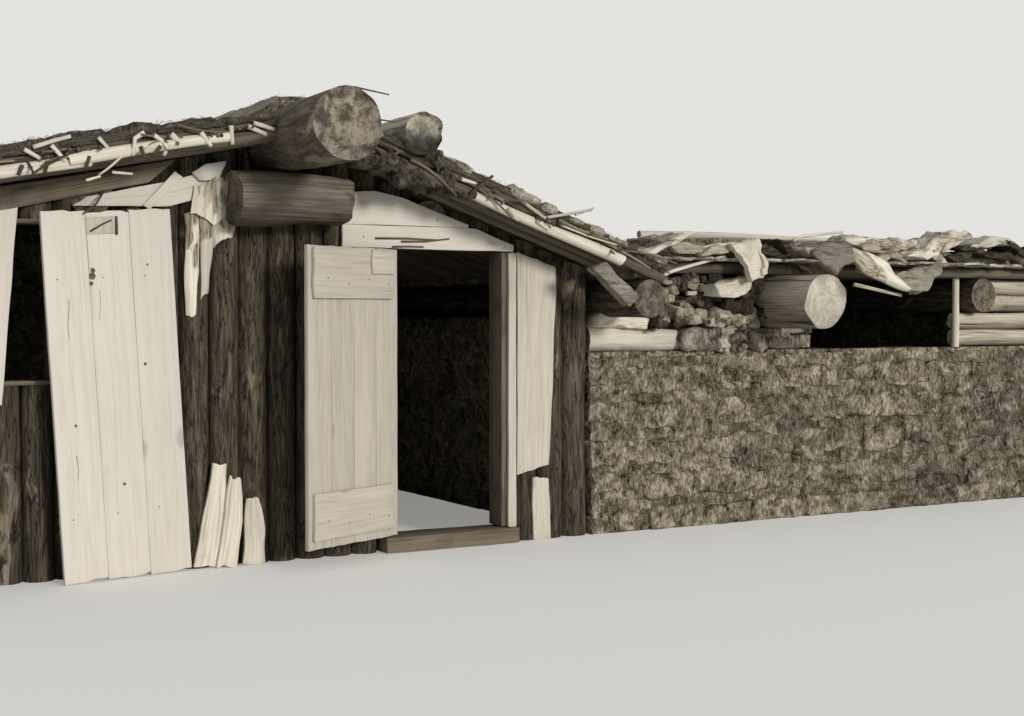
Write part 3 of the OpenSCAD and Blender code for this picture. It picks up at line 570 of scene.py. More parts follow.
def end_grain(name, dark, light, ring=0.3, crack=0.5, dirt=0.7, darkest=0.8, lightest=1.15):
    """A weathered log end: faint growth rings, drying cracks from the heart, and blotches of dirt and rot."""
    look = Look(name, 0.9)
    x, y = look.node("SeparateXYZ", {0: look.grain}, None).outputs[:2]
    reach = look.node("VectorMath", {0: look.node("CombineXYZ", {0: x, 1: y})}, "Value", operation="LENGTH")
    warp = look.noise(look.grain, 1.6, 4.0)
    radius = look.math("ADD", reach, look.math("MULTIPLY", warp, 0.7))
    rings = look.math("SINE", look.math("MULTIPLY", radius, 58.0))
    colour = look.mix(look.span(rings, -1.0, 1.0, 0.0, ring), light, dark)
    angle = look.math("MULTIPLY", look.math("ARCTAN2", y, x), 1.5)
    ray = look.math("ABSOLUTE", look.math("SINE", look.math("ADD", angle, look.math("MULTIPLY", warp, 6.0))))
    cracks = look.span(ray, 0.0, 0.05, crack, 0.0)
    fleck = look.noise(look.grain, 11.0, 5.0, 0.7)
    blotch = look.noise(look.grain, 1.9, 6.0, 0.68, 0.5)
    colour = look.mix(look.span(blotch, 0.40, 0.60, 0.0, dirt), colour, dark)
    colour = look.mix(look.span(fleck, 0.50, 0.68, 0.0, dirt * 0.7), colour, dark)
    colour = look.toned(look.mix(cracks, colour, "201812"), darkest, lightest)
    height = look.math("SUBTRACT", look.math("ADD", look.math("MULTIPLY", rings, 0.15), fleck), cracks)
    return look.finish(colour, height, 0.8, 0.008)


def earth(name, dark, middle, light, straw, fibres=0.5, darkest=0.75, lightest=1.2):
    """Cut turf: crumbly soil bound by hanging roots, with pale dead fibres."""
    look = Look(name, 1.0)
    lump = look.noise(look.grain, 9.0, 8.0, 0.68, 0.4)
    crumb = look.noise(look.stretch(1, 1, 0.4), 60.0, 5.0, 0.7)
    both = look.math("ADD", look.math("MULTIPLY", lump, 0.55), look.math("MULTIPLY", crumb, 0.45))
    colour = look.ramp(both, dark, middle, light, stops=(0.41, 0.5, 0.59))
    root = look.noise(look.stretch(1.0, 1.0, 0.16), 90.0, 4.0, 0.6, 2.6)
    thread = look.span(root, 0.54, 0.64, 0.0, fibres)
    colour = look.toned(look.mix(thread, colour, straw), darkest, lightest)
    height = look.math("ADD", look.math("MULTIPLY", lump, 1.4), look.math("ADD", crumb, thread))
    return look.finish(colour, height, 1.0, 0.02)


def straw(name, dark, light):
    """Dead grass blades and root hairs, each of one tone."""
    look = Look(name, 0.95)
    fleck = look.span(look.noise(look.grain, 60.0, 2.0), 0.4, 0.7, 0.0, 0.4)
    return look.finish(look.mix(fleck, look.mix(look.tone, dark, light), dark))


def iron(name):
    """Rusted wrought iron."""
    look = Look(name, 0.8, "object")
    flake = look.noise(look.grain, 55.0, 6.0, 0.65)
    look.shader.inputs["Metallic"].default_value = 0.35
    return look.finish(look.ramp(flake, "1d1815", "37261c", "6a4128"), flake, 0.5, 0.002)


PANEL_WOOD = wood("panel_wood", "c2bbad", "ccc5b8", "d3cdc1", 0.93, 1.04, crack=0.1, knot=0.3, stain=0.25)
BOARD_WOOD = wood("board_wood", "aba292", "bfb7a8", "cec7ba", 0.84, 1.08, crack=0.25, knot=0.3, stain=0.35)
DOOR_WOOD = wood("door_wood", "a2998a", "b3ab9d", "c0b9ac", 0.88, 1.08, crack=0.2, knot=0.3, stain=0.35)
HEWN_WOOD = wood("hewn_wood", "3a322a", "625849", "857967", 0.7, 1.2, crack=0.7, knot=0.3, stain=0.5)
PEELED_WOOD = wood("peeled_wood", "a0967f", "cbc3b1", "dcd5c7", 0.8, 1.1, crack=0.4, knot=0.5, stain=0.35)
# Pole wood kept dark partly as painted shade: the poles are mostly seen from below, under the overhangs.
SHADE_DARK_POLE_WOOD = wood("pole_wood", "3a342b", "5e5548", "7f7565", 0.7, 1.2, crack=0.7, knot=0.35, stain=0.5)
HEADER_WOOD = wood("header_wood", "2f2922", "5c5448", "877d6e", 0.6, 1.25, crack=0.6, knot=0.3, stain=0.8)
SPLIT_WOOD = wood("split_wood", "453c31", "9a907e", "cbc3b2", 0.45, 1.3, crack=1.0, knot=0.3, stain=0.6)
DARK_BARK = bark("dark_bark", "16120e", "423a2f", "6a5f50", "8a7f6d", bare=0.2)
RIDGE_BARK = bark("ridge_bark", "2c2620", "544b40", "7b7162", "958b7a", 0.4, 0.55, 1.5, groove=0.75)
PALE_BARK = bark("pale_bark", "4a4237", "9c9280", "c3baa7", "d8d1c1", bare=0.7)
DARK_END = end_grain("dark_end", "2e2720", "857a69")
RIDGE_END = end_grain("ridge_end", "332c24", "9c9281", ring=0.1, crack=0.2, dirt=0.85)
PALE_END = end_grain("pale_end", "857a67", "cfc8b8", ring=0.08, crack=0.3, dirt=0.45)
# Its near-black darkest tone paints the shade on the lower part of the side log's end.
SIDE_END = end_grain("side_end", "2a231c", "c4bcab", ring=0.1, crack=0.6, dirt=0.6, darkest=0.12, lightest=1.2)
TURF = earth("turf", "1d1811", "8c806b", "cfc4ae", "d6ccb6", 0.75, 0.35, 1.4)
SOD = earth("bleached_sod", "655d4e", "a69c89", "c6bead", "d4ccba", 0.6, 0.7, 1.2)
BRUSH = wood("brush_wood", "2a231b", "5a5042", "8d8271", 0.5, 1.5, crack=0.4, knot=0.2, stain=0.4)
STRAW = straw("straw", "3d3527", "b0a58b")
PALE_STRAW = straw("pale_straw", "6b614e", "cdc4ae")
IRON = iron("rusty_iron")


# Doorway and door

DOOR_OPEN = math.radians(155)
HINGE = (-0.412, -0.0473)
HINGE_EDGE = 0.016
LEAF_W, LEAF_LOW, LEAF_TOP = 0.792, 0.12, 1.852
LEAF_FACE, DOOR_T = 0.0123, 0.03
LEDGE_T, LEDGE_IN, LEDGE_W = 0.024, 0.062, 0.700


def doorway():
    shape, rng = Shape(), chance("doorway")
    for node, along in (("sill_log", 0), ("door_lintel", 0)):
        beam(shape, low(node), high(node), rng, along, cut=1)
    a, b = low("door_posts"), high("door_posts")
    beam(shape, a, (-DOORWAY_HALF, b[1], b[2]), rng, 2, cut=1)
    beam(shape, (DOORWAY_HALF, a[1], a[2]), b, rng, 2, cut=1)
    place("doorway_timbers", shape, [HEWN_WOOD, DARK_END], ("sill_log", "door_posts", "door_lintel"))


def open_door(points):
    """From the closed door's own frame, its hinge line at the origin and its width along +X, to the house's."""
    c, s = math.cos(DOOR_OPEN), math.sin(DOOR_OPEN)
    x, y, z = np.asarray(points, float).T
    return np.stack([HINGE[0] + x * c + y * s, HINGE[1] - x * s + y * c, z], -1)


def nail(shape, point, normal):
    """A nail head that stands a little out of a board."""
    steps = np.outer((-0.002, 0.0015, 0.0025), normal)
    tube(shape, point + steps, 0.005, 0.003, kind=1)


def door():
    shape, rng = Shape(), chance("door")
    origin, unit_x, unit_y = open_door([[0, 0, 0], [1, 0, 0], [0, 1, 0]])
    across, out = unit_x - origin, unit_y - origin
    pitch = LEAF_W / 4
    for i, tone in enumerate((0.45, 0.65, 0.4, 0.55)):
        a = HINGE_EDGE + i * pitch
        straight_plank(shape, *open_door([[a, LEAF_FACE, LEAF_LOW], [a + pitch - 0.002, LEAF_FACE, LEAF_LOW]]),
                       UP * (LEAF_TOP - LEAF_LOW), out, DOOR_T, rng, tone=tone, ragged=0.003, wander=0.0006)
    start, back = HINGE_EDGE + LEDGE_IN, LEAF_FACE + DOOR_T
    for z, tall, tone in ((1.552, 0.288, 0.55), (0.17, 0.27, 0.7)):
        straight_plank(shape, *open_door([[start, back, z + tall], [start, back, z]]), across * LEDGE_W, out, LEDGE_T,
                       rng, tone=tone, wander=0.001, across_cells=10)
        for i in range(4):
            spot = (start + i * pitch * 0.9 + 0.05, back + LEDGE_T, z + tall * (0.3 + 0.1 * (i % 2)))
            nail(shape, open_door(spot), out)
    straight_plank(shape, *open_door([[start, back + LEDGE_T, 1.84], [start, back + LEDGE_T, 1.70]]), across * 0.21,
                   out, 0.014, rng, tone=0.95)
    place("door_boards", shape, [DOOR_WOOD, IRON], ("door_planks", "door_ledges"), body="door")
    for node in ("door_straps", "hinge_pintles"):
        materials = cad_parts[node].data.materials
        materials.clear()
        materials.append(IRON)


# Front wall

LEFT_LOGS_X, LEFT_LOGS_N, LOGS_Y = (-2.949, -0.471), 14, 0.1
RIGHT_LOGS_N, RIGHT_LOGS_PITCH, RIGHT_LOGS_Y = 3, 0.19267, 0.0956
OVER_DOOR_N, OVER_DOOR_HALF, OVER_DOOR_Y = 6, 0.469, 0.085
LOG_TOP = 2.6
WINDOW_X, WINDOW_Z = (-2.772, -2.418), (1.075, 1.975)
PURLINS = beam_pair("purlins")


def beam_ceiling(x):
    """Height at which an upright log of the front ends, under the poles and the beams."""
    top = under_roof(x) - 0.002
    for middle, z, r in ((RIDGE_X, RIDGE_Z, RIDGE_R[0]), (*PURLINS[LEFT], PLATE_R), (*PURLINS[RIGHT], PLATE_R)):
        top = np.where(np.abs(x - middle) < r + 0.004, np.minimum(top, z - r), top)
    return top


def upright_logs():
    shape, rng = Shape(), chance("upright_logs")
    pitch = (LEFT_LOGS_X[1] - LEFT_LOGS_X[0]) / LEFT_LOGS_N
    for i in range(LEFT_LOGS_N):
        x = LEFT_LOGS_X[0] + (i + 0.5) * pitch
        r = 0.0875 * rng.uniform(1.02, 1.06)
        window = WINDOW_X[0] < x < WINDOW_X[1]
        for z0, z1 in ((0, WINDOW_Z[0]), (WINDOW_Z[1], LOG_TOP)) if window else ((0, LOG_TOP),):
            log(shape, (x, LOGS_Y, z0), (x, LOGS_Y, z1), r, r * 0.96, rng, sides=20, step=0.07, bend=0.002, lump=0.04,
                furrow=0.025, ceiling=beam_ceiling)
    # Curled sheets of pale bark that have come loose
    for left, right, tone, cup, wander in (
            (((-1.70, 0.03, 1.42), (-1.705, 0.03, 1.75), (-1.69, 0.02, 2.06)),
             ((-1.60, 0.03, 1.46), (-1.585, 0.03, 1.8), (-1.60, 0.02, 2.06)), 0.8, 0.02, 0.014),
            (((-1.60, 0.03, 1.55), (-1.595, 0.02, 1.8), (-1.61, 0.0, 2.05)),
             ((-1.56, 0.03, 1.6), (-1.53, 0.02, 1.85), (-1.52, 0.0, 2.03)), 0.4, 0.02, 0.014),
            (((-1.53, 0.01, 1.86), (-1.545, 0.01, 2.05), (-1.53, -0.01, 2.24)),
             ((-1.40, 0.01, 1.92), (-1.375, 0.01, 2.1), (-1.36, -0.01, 2.27)), 0.55, 0.03, 0.014),
            (((-1.66, -0.02, 2.02), (-1.67, -0.03, 2.12), (-1.66, -0.02, 2.2)),
             ((-1.47, -0.02, 1.99), (-1.46, -0.03, 2.1), (-1.45, -0.02, 2.22)), 0.7, 0.012, 0.03)):
        plank(shape, left, right, FRONT, 0.007, rng, step=0.03, across_cells=10, cup=cup, ragged=0.03, wander=wander,
              tone=tone, kind=2)
    place("left_upright_logs", shape, [DARK_BARK, DARK_END, PALE_BARK], ("left_front_logs",))

    shape = Shape()
    for i in range(RIGHT_LOGS_N):
        x, y = POST_OUT + 0.001 + (i + 0.5) * RIGHT_LOGS_PITCH, RIGHT_LOGS_Y
        log(shape, (x, y, 0), (x, y, 2.3), 0.0985, 0.0975, rng, sides=20, step=0.07, ceiling=beam_ceiling)
    for i in range(OVER_DOOR_N):
        x, y = OVER_DOOR_HALF * ((2 * i + 1) / OVER_DOOR_N - 1), OVER_DOOR_Y
        log(shape, (x, y, DOOR_TOP + 0.06), (x, y, LOG_TOP), 0.081, 0.08, rng, sides=16, ceiling=beam_ceiling)
    place("right_upright_logs", shape, [DARK_BARK, DARK_END], ("right_front_logs", "over_door_logs"))


def window_frame():
    shape, rng = Shape(), chance("window_frame")
    a, b = low("window_frame"), high("window_frame")
    t = 0.025
    for c, d, along in ((a, (b[0], b[1], a[2] + t), 0), ((a[0], a[1], b[2] - t), b, 0),
                        ((a[0], a[1], a[2] + t), (a[0] + t, b[1], b[2] - t), 2),
                        ((b[0] - t, a[1], a[2] + t), (b[0], b[1], b[2] - t), 2)):
        beam(shape, c, d, rng, along, r=0.003, lump=0.001)
    place("window_boards", shape, [HEWN_WOOD], ("window_frame",))


def header_log():
    r = (high("header_log") - low("header_log"))[2] / 2
    log_piece("header_log_bark", "header_log", [(*middle_line("header_log", 0), r * 0.99, r * 0.97)],
              [HEADER_WOOD, DARK_END], "bark_log", chance("header_log"), sides=36, step=0.03, lump=0.12, furrow=0.06,
              knots=2, tone=0.52, bleach=0.45, rag=0.03)


def gable(x, drop, y=LOG_FACE):
    """A point of a gable board, a drop below the line of the roof poles."""
    return (x, y, float(under_roof(x)) - drop)


def gable_boards():
    """The pale boards under the roof, cut to its slope, left and right of the header log."""
    shape, rng = Shape(), chance("gable_boards")
    edge = RIDGE_X - 0.372
    foot = [gable(-2.33, 0.172), gable(-1.797, 0.2635), gable(edge, 0.235)]
    seam = [gable(-2.29, 0.155), gable(-1.79, 0.19), gable(edge, 0.16)]
    head = [gable(-2.25, 0.136), gable(-1.779, 0.1225), gable(edge, 0.085)]
    plank(shape, foot, seam, FRONT, 0.024, rng, tone=0.7)
    plank(shape, seam, head, FRONT, 0.020, rng, tone=0.6)
    # A dark hewn board along the top of the left gable, under the rake: its darkness stands partly for the rake's
    # shadow.
    plank(shape, [gable(-3.5, 0.17, 0), gable(-1.9, 0.11)], [gable(-3.5, 0.006, 0), gable(-1.75, 0.006)],
          FRONT, 0.02, rng, tone=1.0, kind=1, wander=0.006, cup=0.01)
    plank(shape, [(-1.76, -0.012, 2.265), (-1.945, -0.012, 2.07)], [(-1.715, -0.012, 2.235), (-1.905, -0.012, 2.045)],
          FRONT, 0.018, rng, tone=0.95, across_cells=4)
    chunk(shape, [(-1.665, 2.262), (-1.613, 2.218), (-1.507, 2.229), (-1.455, 2.34), (-1.583, 2.315)], -0.034, 0.022,
          rng, lump=0.003, tone=0.95)
    tube(shape, [(-2.16, -0.03, 2.14), (-2.23, -0.13, 2.06), (-2.31, -0.165, 2.0)], 0.006, 0.005, tone=0, kind=1)
    place("left_gable_planks", shape, [PANEL_WOOD, HEWN_WOOD], ("left_gable_boards",))

    shape = Shape()
    left, head = -0.74, DOOR_TOP
    plank(shape, [(left, 0, head + 0.005), (0.449, 0, head)],
          [(left, 0, head + 0.14), (0.17, 0, head + 0.14), (0.449, 0, head + 0.04)], FRONT, 0.024, rng, tone=0.7)
    plank(shape, [(left, 0, head + 0.143), (0.12, 0, head + 0.143)],
          [(left, 0, 2.127), (-0.67, 0, 2.195), (-0.53, 0, 2.21), (-0.354, 0, 2.18), (0.12, 0, 2.02)], FRONT,
          0.022, rng, tone=0.85)
    for x, z in ((-0.6, 1.93), (0.38, 1.89), (-0.1, 2.04)):
        nail(shape, (x, -0.024, z), FRONT)
    for (x0, z0), (x1, z1) in (((-0.523, 1.921), (-0.095, 1.92)), ((-0.41, 1.872), (-0.199, 1.875)),
                               ((-0.35, 1.905), (-0.02, 1.93))):
        tube(shape, [(x0, -0.03, z0), ((x0 + x1) / 2, -0.032, z0 + 0.004), (x1, -0.03, z1)], 0.007, 0.005, kind=2)
    place("right_gable_planks", shape, [PANEL_WOOD, IRON, HEWN_WOOD], ("right_gable_boards",))

    shape = Shape()
    straight_plank(shape, (0.409, 0, 0.1), (0.467, 0, 0.1), (0, 0, 1.752), FRONT, 0.024, rng, tone=0.5,
                   across_cells=4)
    plank(shape, [(0.475, 0, 0.43), (0.475, 0, 1.858)],
          [(0.71, 0, 0.484), (0.742, 0, 1.0), (0.749, 0, 1.3), (0.768, 0, 1.60), (0.761, 0, 1.771)], FRONT,
          0.024, rng, tone=0.6, ragged=0.004, wander=0.002, across_cells=8)
    plank(shape, [(0.595, 0, 0), (0.585, 0, 0.41)], [(0.73, 0, 0), (0.715, 0, 0.39)], FRONT, 0.022, rng, tone=0.9,
          ragged=0.02, wander=0.006)
    place("jamb_planks", shape, [BOARD_WOOD], ("jamb_boards",))


PANEL_LEAN, PANEL_TURN = math.radians(3.5), math.radians(11)
PANEL_CORNER = (-1.6814, -0.0058, 0)
PANEL_H, PANEL_W = 2.056, 0.76


def plank_panel():
    """The leaning panel: wide pale planks nailed to two battens behind them."""
    shape, rng = Shape(), chance("plank_panel")
    corner = np.array(PANEL_CORNER)
    across = np.array([math.cos(PANEL_TURN), math.sin(PANEL_TURN), 0])
    front = np.array([math.sin(PANEL_TURN), -math.cos(PANEL_TURN), 0])
    up = UP * math.cos(PANEL_LEAN) - across * math.sin(PANEL_LEAN)
    level = across * math.cos(PANEL_LEAN) + UP * math.sin(PANEL_LEAN)
    pitch = PANEL_W / 3

    def spot(right, height, out=0.0252):
        """A point on the panel's face, right of its left edge and up from its foot."""
        return corner + level * (right - PANEL_W) + up * height + front * out

    for i, (tone, drop) in enumerate(((0.55, 0.0), (0.7, 0.008), (0.8, 0.0))):
        foot_right = corner - level * i * pitch
        foot_left = foot_right - level * (pitch - 0.0015)
        lift = max(0.0, -foot_left[2]) + 0.002
        straight_plank(shape, foot_left + up * lift, foot_right + up * lift, up * (PANEL_H - drop - lift), front,
                       0.025, rng, tone=tone, cup=0.001, wander=0.0008, ragged=0.006, across_cells=8)
    for z in (0.35, 0.8 * PANEL_H):
        a, b = (corner + level * (0.02 - PANEL_W) + up * h for h in (z + 0.09, z))
        straight_plank(shape, a, b, level * (PANEL_W - 0.11), -front, 0.04, rng, tone=0.4)
        for u in (0.07, 0.33, 0.58):
            nail(shape, spot(u, z + 0.045), front)
    foot_l, foot_r = spot(0.25, 1.925), spot(0.415, 1.925)
    straight_plank(shape, foot_l, foot_r, up * 0.095, front, 0.007, rng, tone=0.3, kind=3, across_cells=4)
    for (x0, z0), (x1, z1), r in (((0.27, 1.94), (0.40, 2.0), 0.007), ((0.425, 1.92), (0.43, 2.02), 0.009)):
        tube(shape, [spot(x0, z0, 0.03), spot((x0 + x1) / 2, (z0 + z1) / 2 + 0.004, 0.034), spot(x1, z1, 0.03)],
             r, r * 0.7, kind=2, tone=0.1)
    for x, z, r in ((0.27, 1.70, 0.022), (0.275, 1.73, 0.016), (0.262, 1.66, 0.013), (0.55, 1.2, 0.010),
                    (0.12, 0.9, 0.009), (0.38, 0.55, 0.010), (0.60, 1.75, 0.008)):
        tube(shape, [spot(x, z, 0.02), spot(x, z, 0.0262), spot(x, z, 0.0268)], r, r * 0.8, sides=10, kind=2, tone=0.3)
    for x, top, foot in ((0.12, 1.58, 1.36), (0.11, 0.74, 0.6), (0.30, 1.62, 1.46)):
        path = [spot(x + 0.008 * math.sin(21 * z), z, 0.0255) for z in np.linspace(top, foot, 10)]
        tube(shape, path, 0.0018, 0.0010, sides=5, kind=2, tone=0)
    place("panel_planks", shape, [PANEL_WOOD, IRON, HEWN_WOOD, BOARD_WOOD], ("plank_panel",))


def slanted_board():
    shape, rng = Shape(), chance("slanted_board")
    foot, lean = np.array([-2.832, LOG_FACE, 0.98]), math.radians(5)
    across = np.array([math.cos(lean), 0, -math.sin(lean)]) * 0.12
    rise = np.array([math.sin(lean), 0, math.cos(lean)]) * 1.09
    straight_plank(shape, foot, foot + across, rise, FRONT, 0.025, rng, tone=0.9)
    place("slanted_plank", shape, [PANEL_WOOD], ("slanted_board",))


def foot_slabs():
    """Pale split slabs that stand against the foot of the front logs."""
    shape, rng = Shape(), chance("foot_slabs")
    for x, wide, out, tall, lean, tone in ((0.01, 0.15, 0, 0.62, 0.09, 0.9), (0.13, 0.13, 0.03, 0.53, 0.06, 1.0),
                                           (0.3, 0.14, 0, 0.397, 0, 0.6)):
        foot = np.array([PANEL_CORNER[0] + 0.012 + x, LOG_FACE - out, 0])
        left = foot + [(0, 0, 0), (0.02 + lean * 0.7, 0, tall * 0.7), (0.03 + lean, 0, tall)]
        right = foot + [(wide, 0, 0), (wide + lean * 0.6, 0, tall * 0.5), (wide * 0.7 + lean, 0, tall * 0.97)]
        plank(shape, left, right, FRONT, 0.028, rng, step=0.02, tone=tone, cup=0.010, ragged=0.02, wander=0.006)
    place("foot_slab_wood", shape, [PEELED_WOOD], ("foot_slabs",))


# Logs, poles and brush of the main roof

def roof_logs():
    rng = chance("ridge_log")
    log_piece("ridge_log_bark", "ridge_log", [(*([RIDGE_X, y, RIDGE_Z] for y in RIDGE_ENDS), *RIDGE_R)],
              [RIDGE_BARK, RIDGE_END], "bark_log", rng, sides=56, step=0.04, bend=0.0, lump=0.05, furrow=0.03, knots=7,
              tone=0.6, bleach=0.3, rag=0.035)
    # The side log's strong bleach and its end colour, near black at low tone, paint shade under its top and on the
    # lower part of its end.
    log_piece("side_log_bark", "side_log", [(*middle_line("side_log", 1), 0.12, 0.105)], [SPLIT_WOOD, SIDE_END],
              "bark_log", rng, sides=40, step=0.05, bend=0.0, lump=0.08, furrow=0.05, knots=8, tone=0.5, bleach=0.8,
              rag=0.06)
    r = PLATE_R * 1.01
    for node, piece, fronts in (("wall_plates", "plate_bark", (-0.43, -0.43)),
                                ("purlins", "purlin_bark", (0.0125, SEAT))):
        lines = [((x, y, z), (x, PLATE_BACK, z), r, r) for (x, z), y in zip(beam_pair(node).values(), fronts)]
        log_piece(piece, node, lines, [DARK_BARK, DARK_END], "bark_log", rng, step=0.09, bend=0.0, lump=0.008,
                  furrow=0.006, knots=0, tone=0.5)


def roof_poles():
    rng = chance("roof_poles")
    pitch = (ROOF_BACK - ROOF_FRONT) / POLES_N
    for side, name in ((LEFT, "left_poles"), (RIGHT, "right_poles")):
        lines = []
        for i in range(1, POLES_N):
            y, end = ROOF_FRONT + i * pitch, SLOPE_LEN[side] - 0.03 * ((i * 7) % 5) / 5
            lines.append((*on_slope(side, [[0.15, y, POLE_R], [end, y, POLE_R]]), POLE_R, POLE_R * 0.98))
        log_piece(name.replace("poles", "pole_wood"), name, lines, [SHADE_DARK_POLE_WOOD, DARK_END], "peeled_pole", rng, sides=12,
                  step=0.2, bend=0.003, furrow=0.0, knots=1)

    shape = Shape()
    # The rake lengths next to the ridge are dark bark-on wood at low tone, partly painted shade under the ridge log.
    for side, start, end, y, rise, r0, r1, tone, kind in (
            (LEFT, 1.22, SLOPE_LEN[LEFT] + 0.03, -0.412, POLE_R, 0.033, 0.038, 1.0, 0),
            (LEFT, 0.45, 1.36, -0.43, 0.055, 0.028, 0.035, 1.0, 0),
            (LEFT, 0.16, 0.6, RAKE_Y, POLE_R, 0.036, 0.036, 0.4, 2),
            (RIGHT, 0.16, 1.12, RAKE_Y, POLE_R, 0.036, 0.036, 0.2, 2),
            (RIGHT, 1.02, 2.26, -0.41, POLE_R, 0.026, 0.040, 0.8, 0),
            (RIGHT, 2.18, SLOPE_LEN[RIGHT] + 0.03, RAKE_Y, POLE_R, 0.034, 0.034, 0.4, 2)):
        log(shape, *on_slope(side, [[start, y, rise], [end, y, rise]]), r0, r1, rng, sides=18, step=0.05, bend=0.009,
            lump=0.08, knots=4, tone=tone, bark=kind, rag=0.02)
    place("rake_pole_wood", shape, [PEELED_WOOD, PALE_END, SHADE_DARK_POLE_WOOD], ("rake_poles",))


def bent_path(start, ahead, length, droop, rng, n=6):
    """A stick's path: it leaves along ahead, bends sideways a little and droops."""
    t = np.linspace(0, 1, n)[:, None]
    sway = rng.normal(size=3) * 0.12 * length
    return start + unit(ahead) * length * t + sway * t * t - droop * UP * t ** 2.2


# The larger sticks of the rakes, each a row of (x, z) places in the front, with a radius and a tone
LEFT_STICKS = (
    (((-2.676, 2.298), (-2.597, 2.257)), 0.012, 0.8), (((-2.541, 2.326), (-2.466, 2.248)), 0.013, 0.9),
    (((-2.631, 2.311), (-2.53, 2.35), (-2.445, 2.377)), 0.012, 0.7),
    (((-2.15, 2.337), (-2.182, 2.284), (-2.251, 2.223), (-2.30, 2.185)), 0.007, 0.5),
    (((-2.059, 2.421), (-2.107, 2.387), (-2.118, 2.344), (-2.119, 2.297)), 0.013, 1.0),
    (((-2.006, 2.409), (-1.963, 2.385), (-1.936, 2.349), (-1.953, 2.306)), 0.013, 1.0),
    (((-1.914, 2.42), (-1.865, 2.38)), 0.018, 0.9), (((-1.581, 2.488), (-1.57, 2.386)), 0.014, 0.9),
    (((-1.45, 2.51), (-1.33, 2.483)), 0.013, 0.8), (((-1.484, 2.489), (-1.374, 2.452)), 0.014, 0.4),
    (((-2.23, 2.203), (-2.12, 2.2)), 0.008, 0.6), (((-2.365, 2.155), (-2.29, 2.18)), 0.008, 0.5),
    (((-2.90, 2.24), (-2.80, 2.20)), 0.012, 0.8), (((-3.1, 2.16), (-2.98, 2.19)), 0.012, 0.6),
    (((-1.75, 2.44), (-1.69, 2.37)), 0.014, 0.8), (((-2.30, 2.38), (-2.24, 2.32)), 0.012, 0.7))
DARK_STICKS = (((-2.562, 2.243), (-2.578, 2.176)), ((-2.687, 2.217), (-2.707, 2.165)),
               ((-2.081, 2.347), (-2.06, 2.29)), ((-1.974, 2.353), (-2.017, 2.292)),
               ((-0.101, 2.181), (0.049, 2.289)), ((-2.85, 2.18), (-2.87, 2.13)), ((-2.35, 2.28), (-2.37, 2.21)))
RIGHT_STICKS = (
    (((0.244, 2.153), (0.421, 2.05), (0.749, 2.11)), 0.011, 0.4), (((0.638, 2.076), (0.778, 2.124)), 0.008, 0.5),
    (((0.529, 2.01), (0.73, 1.95), (0.936, 1.897)), 0.007, 0.3), (((0.16, 2.10), (0.23, 2.03)), 0.010, 0.8),
    (((0.36, 2.03), (0.45, 1.98)), 0.010, 0.7), (((-0.16, 2.26), (-0.06, 2.24)), 0.012, 0.6))


